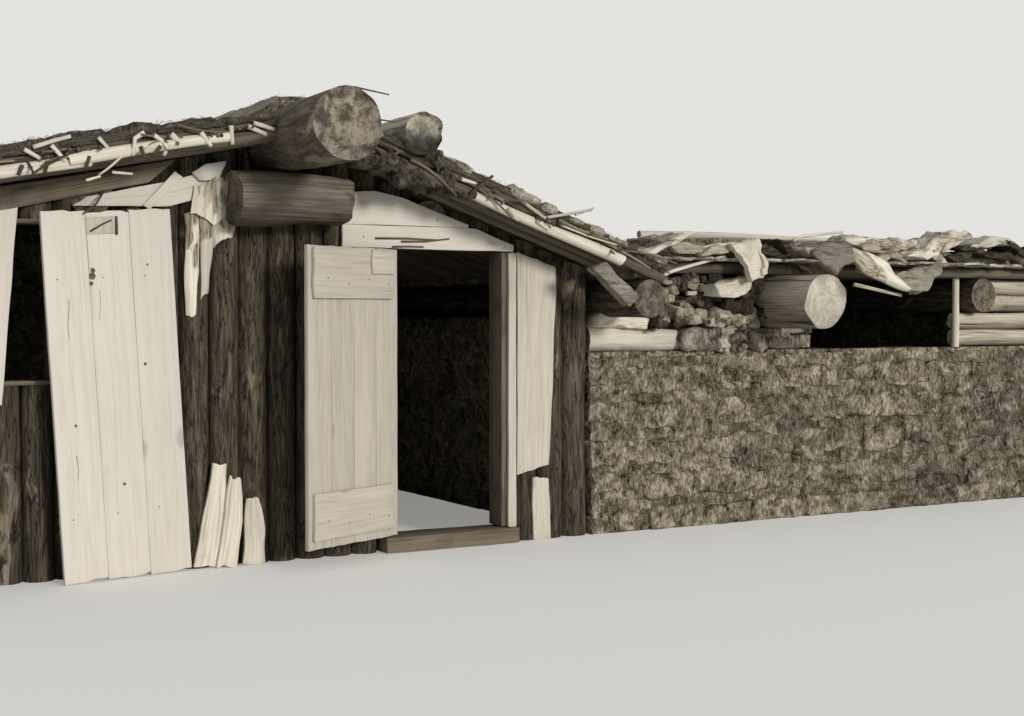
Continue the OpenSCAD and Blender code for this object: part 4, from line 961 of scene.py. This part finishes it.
def brush():
    """The layer of sticks on the poles: a dark mat, and the ends that reach out over the rakes and eaves."""
    shape, rng = Shape(), chance("brush")

    def stick(path, r0, r1, tone, **more):
        tube(shape, path, r0, r1, tone=tone, grain_offset=rng.uniform(0, GRAIN_SPAN), **more)

    for side in (LEFT, RIGHT):
        reach = SLOPE_LEN[side]
        local, out, faces = soft_box((reach + 0.02 - 0.16, 5.31, 0.04), (40, 60, 3), 0.012)
        offset = rng.uniform(0, GRAIN_SPAN, 3)
        local += out * 0.012 * rough(local + offset, (8, 20, 20), 3, 3)[:, None]
        points = on_slope(side, local + (0.16 + (reach + 0.02 - 0.16) / 2, 2.235, BRUSH_Z + 0.02))
        shape.add(points, faces[:, ::side], local[:, [1, 2, 0]] + offset, 0.2, 0)
        # Earth packed between the poles over the wall plate
        local, out, faces = soft_box((0.12, 5.2, 0.094), (4, 60, 4), 0.02)
        packed = local + out * 0.012 * rough(local + offset, (9, 9, 9), 5, 3)[:, None]
        shape.add(on_slope(side, packed + (reach - 0.13, 2.21, 0.034)), faces[:, ::side], local + offset, 0.5, 3)
        for _ in range(42):
            start = on_slope(side, (rng.uniform(0.22, reach), -0.37, BRUSH_Z + rng.uniform(-0.01, 0.05)))
            stick(bent_path(start, (rng.normal() * 0.5, -1.0, rng.normal() * 0.15), rng.uniform(0.07, 0.15),
                            rng.uniform(0.0, 0.05), rng), rng.uniform(0.007, 0.014), rng.uniform(0.005, 0.010),
                  rng.uniform(0.0, 0.9))
        for _ in range(14 if side == LEFT else 7):
            start = on_slope(side, (rng.uniform(0.3, reach - 0.3), -0.44, BRUSH_Z + rng.uniform(-0.01, 0.035)))
            down = on_slope(side, (1, 0, 0)) - on_slope(side, (0, 0, 0))
            stick(bent_path(start, down + (0, -0.08, rng.normal() * 0.15), rng.uniform(0.12, 0.35), 0.02, rng),
                  rng.uniform(0.007, 0.013), 0.006, rng.uniform(0.1, 0.9))
        for _ in range(120):
            start = on_slope(side, (reach - 0.05, rng.uniform(-0.43, 4.86), BRUSH_Z + rng.uniform(0.0, 0.04)))
            ahead = on_slope(side, (1, rng.normal() * 0.5, 0)) - on_slope(side, (0, 0, 0))
            stick(bent_path(start, ahead, rng.uniform(0.06, 0.13), 0.02, rng, 5), rng.uniform(0.005, 0.010), 0.004,
                  rng.uniform(0.0, 0.8), sides=5)
    for path, r, tone in LEFT_STICKS + RIGHT_STICKS:
        line = np.array([(x, -0.455 - 0.012 * math.sin(4 * k), z) for k, (x, z) in enumerate(path)])
        share = np.linspace(0, len(path) - 1, 7)
        line = np.stack([np.interp(share, np.arange(len(path)), line[:, axis]) for axis in range(3)], 1)
        stick(line, r, r * 0.8, tone, sides=8, kind=1)
    for path in DARK_STICKS:
        stick([(x, -0.46, z) for x, z in path], 0.012, 0.009, 0)
    # Clods of turf at the darkest tone under the right rake by the ridge: partly painted shade under the ridge log and
    # overhang.
    for run, rise, size in ((0.3, -0.03, 0.16), (0.42, -0.05, 0.17), (0.55, -0.04, 0.15), (0.68, -0.05, 0.16),
                            (0.8, -0.03, 0.14), (0.93, -0.02, 0.13), (1.05, 0.0, 0.12), (0.78, 0.07, 0.12),
                            (0.9, 0.065, 0.1)):
        clod(shape, on_slope(RIGHT, (run, -0.34, rise + 0.04)), (size * 1.3, 0.22, size * 0.8), rng,
             tilt=rng.normal() * 0.2, r=0.05, lump=0.04, tone=0.0, kind=3, cells=(9, 6, 6))
    place("brush_sticks", shape, [BRUSH, PEELED_WOOD, DARK_BARK, TURF], ("roof_brush",))


# Sods

def sod_thickness(run, side):
    """Thickness of the main roof's sod at a run down a slope."""
    u = np.clip((run - 0.3) / (SLOPE_LEN[side] + 0.01 - 0.3), 0, 1)
    swell = {LEFT: 0.0425, RIGHT: 0.0325}[side] * np.sin(math.pi * u ** 0.6) ** 2
    return 0.035 + 0.015 * u + swell + 0.004 * np.sin(5 * math.pi * u)


def scatter(shape, points, normal, rng, length, width=0.0014):
    """Blades of dead grass that grow from the given points and lie over at random."""
    lie = 0.9
    ahead = unit(normal * (1 - lie) + rng.normal(size=points.shape) * (0.6, 0.6, 0.2) * lie)
    blades(shape, points - normal * 0.006, ahead * rng.uniform(*length, (len(points), 1)), width, rng, 2)


def sod_bed(shape, rng, put, runs, ys, base, thick, flip, front_tone_light_and_shade=(0.2, 0.8), front_kind=0, row=0.33):
    """Sods laid in staggered rows on a thin sheet of earth. put takes run, y and rise to their place, and the
    column of sods on the front edge has a tone and a material of its own; on the main roof these are painted
    light and shade."""
    size = (runs[1] - runs[0], ys[1] - ys[0], 1.0)
    local, out, faces = soft_box(size, (max(6, int(size[0] / 0.1)), 44, 3), 0.03)
    offset = rng.uniform(0, GRAIN_SPAN, 3)
    run, y, share = (local + (sum(runs) / 2, sum(ys) / 2, 0.5)).T
    deep = thick(run) * 0.6 * (1 + 0.3 * rough(local + offset, (3, 3, 0), 1, 3))
    shape.add(put(np.stack([run, y, base + share * deep], 1)), faces[:, ::-1] if flip else faces, local + offset, 0.3,
              np.where(looking_up(out, faces), 0, 1))
    rows = max(1, round(size[0] / row))
    wide = size[0] / rows
    for i in range(rows):
        middle = runs[0] + (i + 0.5) * wide
        start = ys[0]
        while start < ys[1] - 0.02:
            first = start == ys[0]
            end = min(start + rng.uniform(0.42, 0.72) * (rng.uniform(0.6, 1) if first else 1), ys[1])
            if ys[1] - end < 0.2:
                end = ys[1]
            tall = float(thick(middle)) * rng.uniform(0.82, 1.08)
            clod(shape, (middle, (start + end) / 2, base + tall / 2), (wide * 1.05, end - start + 0.02, tall), rng,
                 turn=rng.normal() * 0.03, cells=(8, 9, 4) if first else (6, 8, 3), r=0.036, lump=0.026,
                 tone=rng.uniform(*front_tone_light_and_shade) if first else None, kind=front_kind if first else 1,
                 top=front_kind if first else 0, put=put, flip=flip)
            start = end
    n = int(size[0] * size[1] * 750)
    run, y = rng.uniform(runs[0] + 0.02, runs[1] - 0.02, n), rng.uniform(ys[0] + 0.02, ys[1] - 0.02, n)
    points = put(np.stack([run, y, base + thick(run)], 1))
    scatter(shape, points, put(UP) - put(0 * UP), rng, (0.015, 0.045), 0.002)


def roof_sods():
    for side, name, spans in ((LEFT, "left_sod", ((0.18, 2.66),)), (RIGHT, "right_sod", ((0.18, 0.60), (0.83, 2.56)))):
        shape, rng = Shape(), chance(name)
        for runs in spans:
            # The front sods: dark turf on the left slope is painted shade, the palest sod on the right slope is
            # painted light.
            sod_bed(shape, rng, functools.partial(on_slope, side), runs, (-0.435, SOD_BACK), SOD_Z,
                    functools.partial(sod_thickness, side=side), side == LEFT,
                    (0.0, 0.15) if side == LEFT else (0.9, 1.0), 1 if side == LEFT else 0,
                    0.33 if side == LEFT else 0.25)
        n = 700
        run = rng.uniform(0.4, 2.5, n)
        run = run[(run < spans[0][1]) | (run > spans[-1][0])]
        roots = on_slope(side, np.stack([run, 0 * run - 0.42, SOD_Z + rng.uniform(0.1, 0.9, len(run)) * 0.05], 1))
        ahead = np.stack([rng.normal(size=len(run)) * 0.5, -rng.uniform(0.3, 1, len(run)),
                          -rng.uniform(0, 1.0, len(run))], 1)
        blades(shape, roots, ahead * rng.uniform(0.02, 0.05, (len(run), 1)), 0.0014, rng, 2)
        place(name + "_turf", shape, [SOD, TURF, PALE_STRAW], (name,))


def ridge_sods():
    shape, rng = Shape(), chance("ridge_sods")
    ys, reach, rise, top = (-0.19, SOD_BACK), 0.27, 0.1556, 2.725
    foot = {side: on_slope(side, (reach, 0, rise)) for side in (LEFT, RIGHT)}
    outline_x = [foot[LEFT][0], foot[LEFT][0] + 0.09, RIDGE_X - 0.08, RIDGE_X + 0.08, foot[RIGHT][0] - 0.09,
                 foot[RIGHT][0]]
    outline_z = [foot[LEFT][2] + 0.015, foot[LEFT][2] + 0.07, top, top, foot[RIGHT][2] + 0.07, foot[RIGHT][2] + 0.015]
    size = (foot[RIGHT][0] - foot[LEFT][0], ys[1] - ys[0], 1.0)
    local, out, faces = soft_box(size, (22, 90, 4), 0.03)
    offset = rng.uniform(0, GRAIN_SPAN, 3)
    x, y, share = (local + ((foot[LEFT][0] + foot[RIGHT][0]) / 2, sum(ys) / 2, 0.5)).T
    log_r = np.interp(y, RIDGE_ENDS, RIDGE_R) - 0.01
    bed = np.maximum(under_roof(x) + SOD_Z + 0.02, RIDGE_Z + np.sqrt(np.maximum(0, log_r ** 2 - (x - RIDGE_X) ** 2)))
    grain = np.stack([x, y, share * 0.1], 1) + offset
    swell = rough(grain, (6, 6, 6), 1, 4)
    thick = np.maximum(np.interp(x, outline_x, outline_z) - bed, 0.015) * (0.88 + 0.2 * swell)
    y = y + np.where(np.abs(local[:, 1]) > size[1] / 2 - 0.05, np.sign(local[:, 1]) * 0.03 * rough(grain, 9, 8, 3), 0)
    shape.add(np.stack([x, y, bed - 0.01 + share * (thick + 0.01)], 1), faces, grain,
              0.5 + 0.3 * np.clip(swell, -1, 1), np.where(looking_up(out, faces), 0, 1))
    for n, y_range, length in ((600, (0.2, 4.86), (0.01, 0.035)), (150, (-0.2, 0.2), (0.01, 0.03))):
        x, y = rng.uniform(outline_x[1], outline_x[4], n), rng.uniform(*y_range, n)
        scatter(shape, np.stack([x, y, np.interp(x, outline_x, outline_z)], 1), UP, rng, length)
    for path in (((-1.03, -0.5, 2.63), (-0.9, -0.56, 2.735), (-0.7, -0.6, 2.70)),
                 ((-0.96, -0.5, 2.545), (-0.8, -0.56, 2.565), (-0.66, -0.6, 2.55))):
        tube(shape, path, 0.008, 0.004, tone=0.2, kind=3)
    place("ridge_sod_turf", shape, [SOD, TURF, PALE_STRAW, BRUSH], ("ridge_sod",))


# Turf walls

def turf_wall(node, corner, along, outward, length, thick, top, batter=0.07, hairs=1500, long_hairs=0, fine=True):
    """A wall of cut turfs, two deep and in staggered courses grown together. corner is the foot of its inner face
    and top gives the wall's height at points."""
    shape, rng = Shape(), chance(node)
    corner, along, outward = (np.asarray(v, float) for v in (corner, along, outward))
    turn = math.atan2(along[1], along[0])
    tallest = float(np.max(top(corner + along * np.linspace(0, length, 40)[:, None])))
    courses = math.ceil(tallest / COURSE_H - 1e-6)

    def clip(points, inset):
        points[:, 2] = np.clip(points[:, 2], 0, top(points))
        reach = (points - corner) @ along
        inset = inset + 0.008 * (1 + rough(points, 8, 6, 2))
        return points - along * (reach - np.clip(reach, inset, length - inset))[:, None]

    for i in range(courses):
        z = (i + 0.5) * COURSE_H
        face = thick - batter * i / courses - (i % 2) * 0.006
        for leaf, (near, far) in enumerate(((0.0, face - 0.3), (face - 0.3, face))):
            start = -rng.uniform(0, 0.35)
            while start < length:
                long = rng.uniform(0.42, 0.66) if leaf else rng.uniform(0.8, 1.1)
                a, b = max(start, 0.0), min(start + long, length)
                start += long
                middle = corner + along * (a + b) / 2 + outward * ((near + far) / 2 + rng.normal() * 0.006 * leaf)
                middle = middle + (0, 0, z)
                if b - a < 0.06 or z - COURSE_H / 2 > float(top(middle[None])[0]) - 0.01:
                    continue
                size = (b - a + 0.08, far - near + 0.01, COURSE_H + 0.06)
                cells = ((12, 3, 6) if fine else (7, 3, 4)) if leaf else (5, 2, 3)
                clod(shape, middle, size, rng, turn, cells=cells, r=0.012, lump=0.030 if leaf else 0.012,
                     tone=0.5 + 0.15 * rough(middle[None], 1.5, 3, 2)[0] + rng.normal() * 0.03,
                     put=functools.partial(clip, inset=0.012 * (i % 2)))
    for n, reach, down, width in ((hairs, (0.025, 0.07), 1.0, 0.0014), (long_hairs, (0.05, 0.13), 4.0, 0.0022)):
        spots = corner + along * rng.uniform(0, length, n)[:, None]
        z = rng.uniform(0.03, 1.0, n) ** 0.9 * (top(spots) - 0.02)
        face = thick - batter * z / tallest
        roots = spots + outward * (face - 0.010)[:, None] + UP * z[:, None]
        ahead = (outward * rng.uniform(0.25, 1.0, (n, 1)) + along * rng.normal(size=(n, 1)) * 0.6
                 - UP * rng.uniform(0.0, down, (n, 1)))
        blades(shape, roots, unit(ahead) * np.minimum(rng.uniform(*reach, (n, 1)), z[:, None]), width, rng, 1)
    place(node + "_turfs", shape, [TURF, STRAW], (node,))


def flat_top(height):
    return lambda points: np.full(len(points), height)


def turf_walls():
    wing_top = high("wing_right_wall")[2]
    turf_wall("left_turf_wall", (-2.95, 0, 0), (0, 1, 0), (-1, 0, 0), 4.0, 0.6, flat_top(high("left_turf_wall")[2]))
    turf_wall("right_turf_wall", (1.05, 0.6, 0), (0, 1, 0), (1, 0, 0), 3.4, 0.7, flat_top(SHARED_TOP), 0.0, 300,
              fine=False)
    turf_wall("rear_turf_wall", (-3.55, 4.0, 0), (1, 0, 0), (0, 1, 0), 5.3, 0.6,
              lambda points: np.minimum(under_roof(points[:, 0]) - 0.002, high("rear_turf_wall")[2]), fine=False)
    turf_wall("wing_front_wall", (1.05, 0.6, 0), (1, 0, 0), (0, -1, 0), 4.25, 0.6, flat_top(WING_WALL_H), 0.07, 7000,
              5000)
    turf_wall("wing_right_wall", (5.3, 0, 0), (0, 1, 0), (1, 0, 0), 2.8, 0.6, flat_top(wing_top))
    turf_wall("wing_rear_wall", (1.75, 2.8, 0), (1, 0, 0), (0, 1, 0), 4.15, 0.6, flat_top(wing_top), fine=False)


# Wing

WING_SOD_X, WING_SOD_Z, WING_SOD_Y = (1.4715, 5.94), 1.8509, (-0.11, 3.49)
WING_POLES_N, WING_POLES_Y, WING_POLES_Z = 19, (-0.12, 3.52), 1.7803
SLABS_N, SLABS_X, SLABS_BACK, SLAB_Z = 9, (1.48, 5.96), 3.55, 1.8206
CAP_LOG_TOP, HEAP_TOP, HEAP_W = 1.385, 1.72, 0.3375


def wing_sod_height(x):
    u = (x - WING_SOD_X[0]) / (WING_SOD_X[1] - WING_SOD_X[0])
    return 0.1 + 0.025 * np.cos(2 * math.pi * u) + 0.010 * np.sin(math.radians(1300) * u)


def wing_logs():
    rng = chance("wing_logs")
    log_piece("wing_cap_log_bark", "wing_cap_log", [((1.07, 0.145, 1.3053), (2.05, 0.145, 1.2803), 0.095, 0.07)],
              [PEELED_WOOD, PALE_END], "peeled_pole", rng, sides=32, step=0.03, lump=0.06, furrow=0.05, knots=2,
              tone=0.5, bleach=0.3, rag=0.03)
    log_piece("wing_big_log_bark", "wing_big_log",
              [((2.66, -0.5, BEARER_TOP - 0.19), (2.66, 3.46, BEARER_TOP - 0.16), 0.19, 0.16)], [SPLIT_WOOD, PALE_END],
              "bark_log", rng, sides=48, step=0.05, bend=0.0, lump=0.045, furrow=0.02, knots=4, tone=0.5, bleach=0.35,
              rag=0.05)
    shared_r = (BEARER_TOP - SHARED_TOP - SEAT) / 2
    lines = [((x, y, BEARER_TOP - r), (x, 3.48, BEARER_TOP - r), r * 1.01, r * 1.01)
             for x, y, r in ((1.6, 0.12, shared_r), (4.64, -0.06, 0.13), (5.6, -0.06, 0.13))]
    log_piece("wing_bearer_bark", "wing_bearers", lines, [DARK_BARK, DARK_END], "bark_log", rng, sides=24, step=0.09,
              bend=0.0, lump=0.008, furrow=0.006, knots=0)
    lines = []
    for i in range(WING_POLES_N):
        y = WING_POLES_Y[0] + (i + 0.5) * (WING_POLES_Y[1] - WING_POLES_Y[0]) / WING_POLES_N
        lines.append(((1.47, y, WING_POLES_Z), (5.96 + 0.025 * (i % 3), y, WING_POLES_Z), 0.039, 0.037))
    log_piece("wing_pole_wood", "wing_poles", lines, [SHADE_DARK_POLE_WOOD, DARK_END], "peeled_pole", rng, sides=12, step=0.25,
              bend=0.003, furrow=0.0)

    shape = Shape()
    log(shape, (4.45, 0.048, 1.2103), (4.45, 0.048, 1.7400), 0.028, 0.026, rng, sides=14, tone=0.8)
    log(shape, *middle_line("wing_weights", 0), 0.026, 0.019, rng, sides=14, step=0.1, bend=0.012, tone=0.3)
    place("wing_stick_wood", shape, [PEELED_WOOD, PALE_END], ("wing_post", "wing_weights"))

    lines = [((x0, 0.11, z + i * gap), (x1, 0.11, z + i * gap), r, r * 0.98) for i in range(2)
             for x0, x1, z, gap, r in ((4.48, 5.297, 1.2775, 0.1347, 0.066), (4.775, 5.465, 1.5444, 0.1297, 0.064))]
    log_piece("wing_panel_logs", "wing_log_panel", lines, [SPLIT_WOOD, PALE_END], "peeled_pole", rng, sides=20,
              tone=0.6, bleach=0.5, rag=0.02)


# Slabs on the wing's front edge: outline as (x, z), where the depth starts, the depth, the material and the tone
WING_SLABS = (
    (((1.105, 1.37), (1.53, 1.365), (1.50, 1.49), (1.16, 1.51)), 0.02, 0.22, 2, 1.0),
    (((2.02, 1.946), (2.263, 1.972), (2.292, 1.698), (2.193, 1.683), (2.15, 1.80)), -0.26, 0.06, 2, 0.9),
    (((2.255, 1.93), (2.33, 1.83), (2.326, 1.733), (2.29, 1.73)), -0.27, 0.06, 2, 0.8),
    (((1.941, 1.661), (1.95, 1.572), (2.218, 1.605), (2.314, 1.727), (2.25, 1.715)), -0.18, 0.25, 2, 0.8),
    (((2.732, 1.877), (2.824, 1.787), (2.955, 1.74), (3.085, 1.834), (3.065, 1.969), (2.85, 1.964)),
     -0.28, 0.3, 1, 0.4),
    (((3.064, 1.985), (3.112, 1.95), (3.304, 1.92), (3.548, 1.946), (3.468, 2.017), (3.187, 2.031)),
     -0.24, 0.3, 0, 0.8),
    (((3.518, 2.01), (3.548, 1.96), (3.667, 1.935), (3.808, 1.974), (3.676, 2.022)), -0.2, 0.3, 0, 0.7),
    (((3.491, 1.733), (3.571, 1.675), (3.711, 1.618), (3.852, 1.626), (3.953, 1.761), (4.003, 1.85), (3.769, 1.81)),
     -0.26, 0.09, 1, 0.6),
    (((3.668, 1.868), (3.87, 1.865), (4.023, 1.93), (4.125, 2.056), (3.94, 2.029), (3.819, 1.93)),
     -0.22, 0.3, 0, 0.85),
    (((4.06, 1.94), (4.178, 1.965), (4.389, 2.04), (4.282, 2.085), (4.125, 2.075)), -0.2, 0.3, 0, 0.7),
    (((4.36, 1.97), (4.60, 1.98), (4.89, 2.02), (4.714, 2.067), (4.551, 2.047)), -0.18, 0.3, 2, 0.5))


def wing_slabs():
    """Slabs of bark and split wood between the wing's poles and its sod, and along its front edge."""
    shape, rng = Shape(), chance("wing_slabs")
    pitch = (SLABS_X[1] - SLABS_X[0]) / SLABS_N
    for i in range(SLABS_N):
        x0, y = SLABS_X[0] + i * pitch, -0.16 - 0.04 * (i % 3)
        for k, (u0, u1) in enumerate(((0.0, 0.52), (0.48, 1.0))):
            a, b, lift = x0 + u0 * (pitch - 0.006), x0 + u1 * (pitch - 0.006), SLAB_Z + 0.004 * k
            dy, slant = rng.uniform(-0.05, 0.04), rng.uniform(-0.03, 0.03)
            plank(shape, [(a, y + dy, lift), (a + slant * 0.2, SLABS_BACK, lift)],
                  [(b + slant * 0.3, y + dy, lift), (b, SLABS_BACK, lift)], UP, 0.018, rng, step=0.08, across_cells=8,
                  cup=0.010, ragged=0.04, wander=0.008, tone=0.2)
    for outline, y, depth, kind, tone in WING_SLABS:
        chunk(shape, outline, y, depth, rng, lump=0.020, tone=tone - 0.25 * (y < 0), kind=kind, wrinkle=13)
    for x in np.arange(1.6, 5.85, 0.2):
        x, z = x + rng.normal() * 0.05, 1.86 + rng.uniform(0, 0.07) + 0.05 * (x > 4.2)
        # Lumps between 2.2 and 2.8 m and past 4.2 m are dark bark at low tone, partly painted shade along the wing's
        # front edge.
        dark = x > 4.2 or 2.2 < x < 2.8
        wide, tall, tilt = rng.uniform(0.10, 0.24), rng.uniform(0.022, 0.045), rng.normal() * 0.05
        turn = np.linspace(0, 2 * math.pi, 9)[:-1]
        outline = [(x + wide * math.cos(t), z + tall * math.sin(t) + tilt * math.cos(t)) for t in turn]
        chunk(shape, outline, rng.uniform(-0.22, -0.15), rng.uniform(0.18, 0.3), rng, lump=0.02,
              tone=0.2 if dark else 0.5, kind=3 if dark else rng.choice([0, 1]))
    chunk(shape, [(0.759, 1.749), (0.871, 1.788), (1.11, 1.57), (1.04, 1.515)], -0.47, 0.1, rng, tone=0.3, kind=1)
    plank(shape, [(3.047, -0.21, 1.94), (3.10, -0.235, 1.84), (3.2, -0.24, 1.75), (3.423, -0.23, 1.69),
                  (3.651, -0.215, 1.632)],
          [(3.06, -0.21, 1.955), (3.276, -0.235, 1.91), (3.432, -0.25, 1.833), (3.491, -0.24, 1.755),
           (3.66, -0.215, 1.66)], FRONT, 0.03, rng, step=0.03, cup=0.03, ragged=0.02, wander=0.012, tone=0.8)
    plank(shape, [(3.2, -0.15, 1.665), (3.67, -0.15, 1.592)], [(3.21, -0.15, 1.69), (3.67, -0.15, 1.612)], FRONT,
          0.02, rng, tone=0.9, kind=1)
    for r, path in (
            (0.014, ((1.502, -0.1, 1.697), (1.617, -0.13, 1.752), (1.784, -0.14, 1.796), (2.056, -0.14, 1.86))),
            (0.014, ((2.73, -0.05, 1.985), (2.813, -0.05, 2.02), (3.2, -0.05, 2.06))),
            (0.012, ((1.75, -0.1, 1.88), (1.95, -0.14, 1.93), (2.15, -0.13, 1.95)))):
        tube(shape, path, r, r * 0.7, sides=8, tone=0.8, kind=2)
    place("wing_bark_slabs", shape, [PALE_BARK, SPLIT_WOOD, PEELED_WOOD, DARK_BARK], ("wing_slabs",))


def wing_blocks():
    """The heap of turfs and split wood on the front wall, under the roof."""
    shape, rng = Shape(), chance("wing_blocks")
    room = SHARED_TOP - SEAT - WING_WALL_H
    heaps = [(1.11 + i * HEAP_W, 1.11 + (i + 1) * HEAP_W - 0.01, 0.25, WING_WALL_H + room * share)
             for i, share in enumerate((0.86, 1, 0.93, 0.97))]
    heaps += [(2.46, 2.84, 0.06, 1.3685), (2.86, 3.09, 0.12, WING_WALL_H + 1.4 * room)]
    for x0, x1, y0, top in heaps:
        layers = max(1, round((top - WING_WALL_H) / 0.095))
        tall = (top - WING_WALL_H) / layers
        for k in range(layers):
            cut = rng.uniform(0.35, 0.65)
            for u0, u1 in ((0, cut), (cut, 1)):
                a, b = x0 + u0 * (x1 - x0), x0 + u1 * (x1 - x0)
                clod(shape, ((a + b) / 2, y0 + 0.16, WING_WALL_H + (k + 0.5) * tall),
                     (b - a + 0.01, rng.uniform(0.27, 0.32), tall + 0.008), rng, turn=rng.normal() * 0.06, r=0.02,
                     lump=0.012, kind=rng.choice([0, 0, 1]))
    # Lumps wedged under the slabs, over the cap log and before the first bearer
    for x in np.arange(1.62, 2.45, 0.09):
        z = CAP_LOG_TOP if x < 2.02 else WING_WALL_H
        while z < HEAP_TOP:
            tall = rng.uniform(0.035, 0.085)
            size = (rng.uniform(0.07, 0.17), rng.uniform(0.14, 0.22), tall * 1.25)
            # The deep lumps, past 1.95 m and above 1.44 m, are darkest bark at tone 0: painted shade in the hollow
            # under the roof.
            deep = x > 1.95 and 1.44 < z
            kind = 3 if deep else rng.choice([0, 0, 1, 1, 2, 3])
            clod(shape, (x + rng.normal() * 0.03, rng.uniform(0.03, 0.10), min(z + tall / 2, 1.70)), size, rng,
                 turn=rng.normal() * 0.4, tilt=rng.normal() * 0.2, r=0.02, lump=0.03, kind=kind,
                 tone=0.0 if deep else rng.uniform(0.2, 1.0))
            z += tall
    for (x0, z0), (x1, z1), y in (((2.06, 1.386), (2.46, 1.53), -0.02), ((2.08, 1.21), (2.44, 1.39), 0.02),
                                  ((1.81, 1.21), (2.05, 1.385), -0.03)):
        clod(shape, ((x0 + x1) / 2, y + 0.1, (z0 + z1) / 2), (x1 - x0, 0.2, z1 - z0), rng, r=0.05, lump=0.03, tone=0.6,
             kind=1)
    place("wing_heap", shape, [TURF, SOD, PALE_BARK, DARK_BARK], ("wing_blocks",))


def wing_sod():
    shape, rng = Shape(), chance("wing_sod")
    sod_bed(shape, rng, lambda points: points + 0.0, WING_SOD_X, WING_SOD_Y, WING_SOD_Z, wing_sod_height, False,
            (0.2, 0.6), 1, 0.5)
    # Lumps under the pole that lies on the roof
    for x in np.arange(1.65, 3.4, 0.22):
        clod(shape, (x, 0.2, 1.957), (0.28, 0.24, 0.085), rng, turn=rng.normal() * 0.3, kind=1, top=0)
    place("wing_sod_turf", shape, [SOD, TURF, PALE_STRAW], ("wing_sod",))


# Floor, light and camera

SUN_RIGHT, SUN_UP = math.radians(12), math.radians(15)
FLOOR_REACH, FLOOR_GLOW = 60.0, 0.3
EYE, EYE_TILT, EYE_TURN = (-4.352, -8.313, 1.456), math.radians(88.36), math.radians(-30)


def floor():
    mesh = bpy.data.meshes.new("floor")
    corners = [(x * FLOOR_REACH, y * FLOOR_REACH, 0) for x, y in ((-1, -1), (1, -1), (1, 1), (-1, 1))]
    mesh.from_pydata(corners, [], [(0, 1, 2, 3)])
    look = Look("floor", 1.0, "object")
    look.shader.inputs["Base Color"].default_value = rgb("eeece7")
    share = look.math("MULTIPLY", look.node("LightPath", {}, "Is Camera Ray"), FLOOR_GLOW)
    both = look.node("MixShader", {0: share, 1: look.surface, 2: look.node("Emission", {"Color": "eceae6"})})
    look.tree.links.new(both, look.out.inputs["Surface"])
    mesh.materials.append(look.material)
    piece = new_object("floor", mesh)


def light():
    lamp = bpy.data.lights.new("sun", "SUN")
    lamp.energy = 2.2
    lamp.angle = math.radians(11)
    lamp.color = (1.0, 0.97, 0.93)
    towards = (math.sin(SUN_RIGHT) * math.cos(SUN_UP), -math.cos(SUN_RIGHT) * math.cos(SUN_UP), math.sin(SUN_UP))
    new_object("sun", lamp).rotation_euler = Vector(towards).to_track_quat("Z", "Y").to_euler()

    world = bpy.data.worlds.new("sky")
    bpy.context.scene.world = world
    world.use_nodes = True
    nodes, link = world.node_tree.nodes, world.node_tree.links.new
    nodes.clear()
    sky, backdrop, path, both, out = (nodes.new("ShaderNode" + kind) for kind in (
        "Background", "Background", "LightPath", "MixShader", "OutputWorld"))
    sky.inputs["Color"].default_value = (0.93, 0.96, 1.0, 1)
    sky.inputs["Strength"].default_value = 0.5
    backdrop.inputs["Color"].default_value = rgb("e4e3e0")
    link(path.outputs["Is Camera Ray"], both.inputs[0])
    link(sky.outputs[0], both.inputs[1])
    link(backdrop.outputs[0], both.inputs[2])
    link(both.outputs[0], out.inputs["Surface"])


def camera():
    data = bpy.data.cameras.new("camera")
    data.lens = 52.7
    data.sensor_width = 36
    eye = new_object("camera", data)
    eye.location = EYE
    eye.rotation_euler = (EYE_TILT, 0, EYE_TURN)
    bpy.context.scene.camera = eye


bpy.context.scene.view_settings.view_transform = "Standard"

for build in (doorway, door, upright_logs, window_frame, header_log, gable_boards, plank_panel, slanted_board,
              foot_slabs, roof_logs, roof_poles, brush, roof_sods, ridge_sods, turf_walls, wing_logs, wing_slabs,
              wing_blocks, wing_sod, floor, light, camera):
    build()
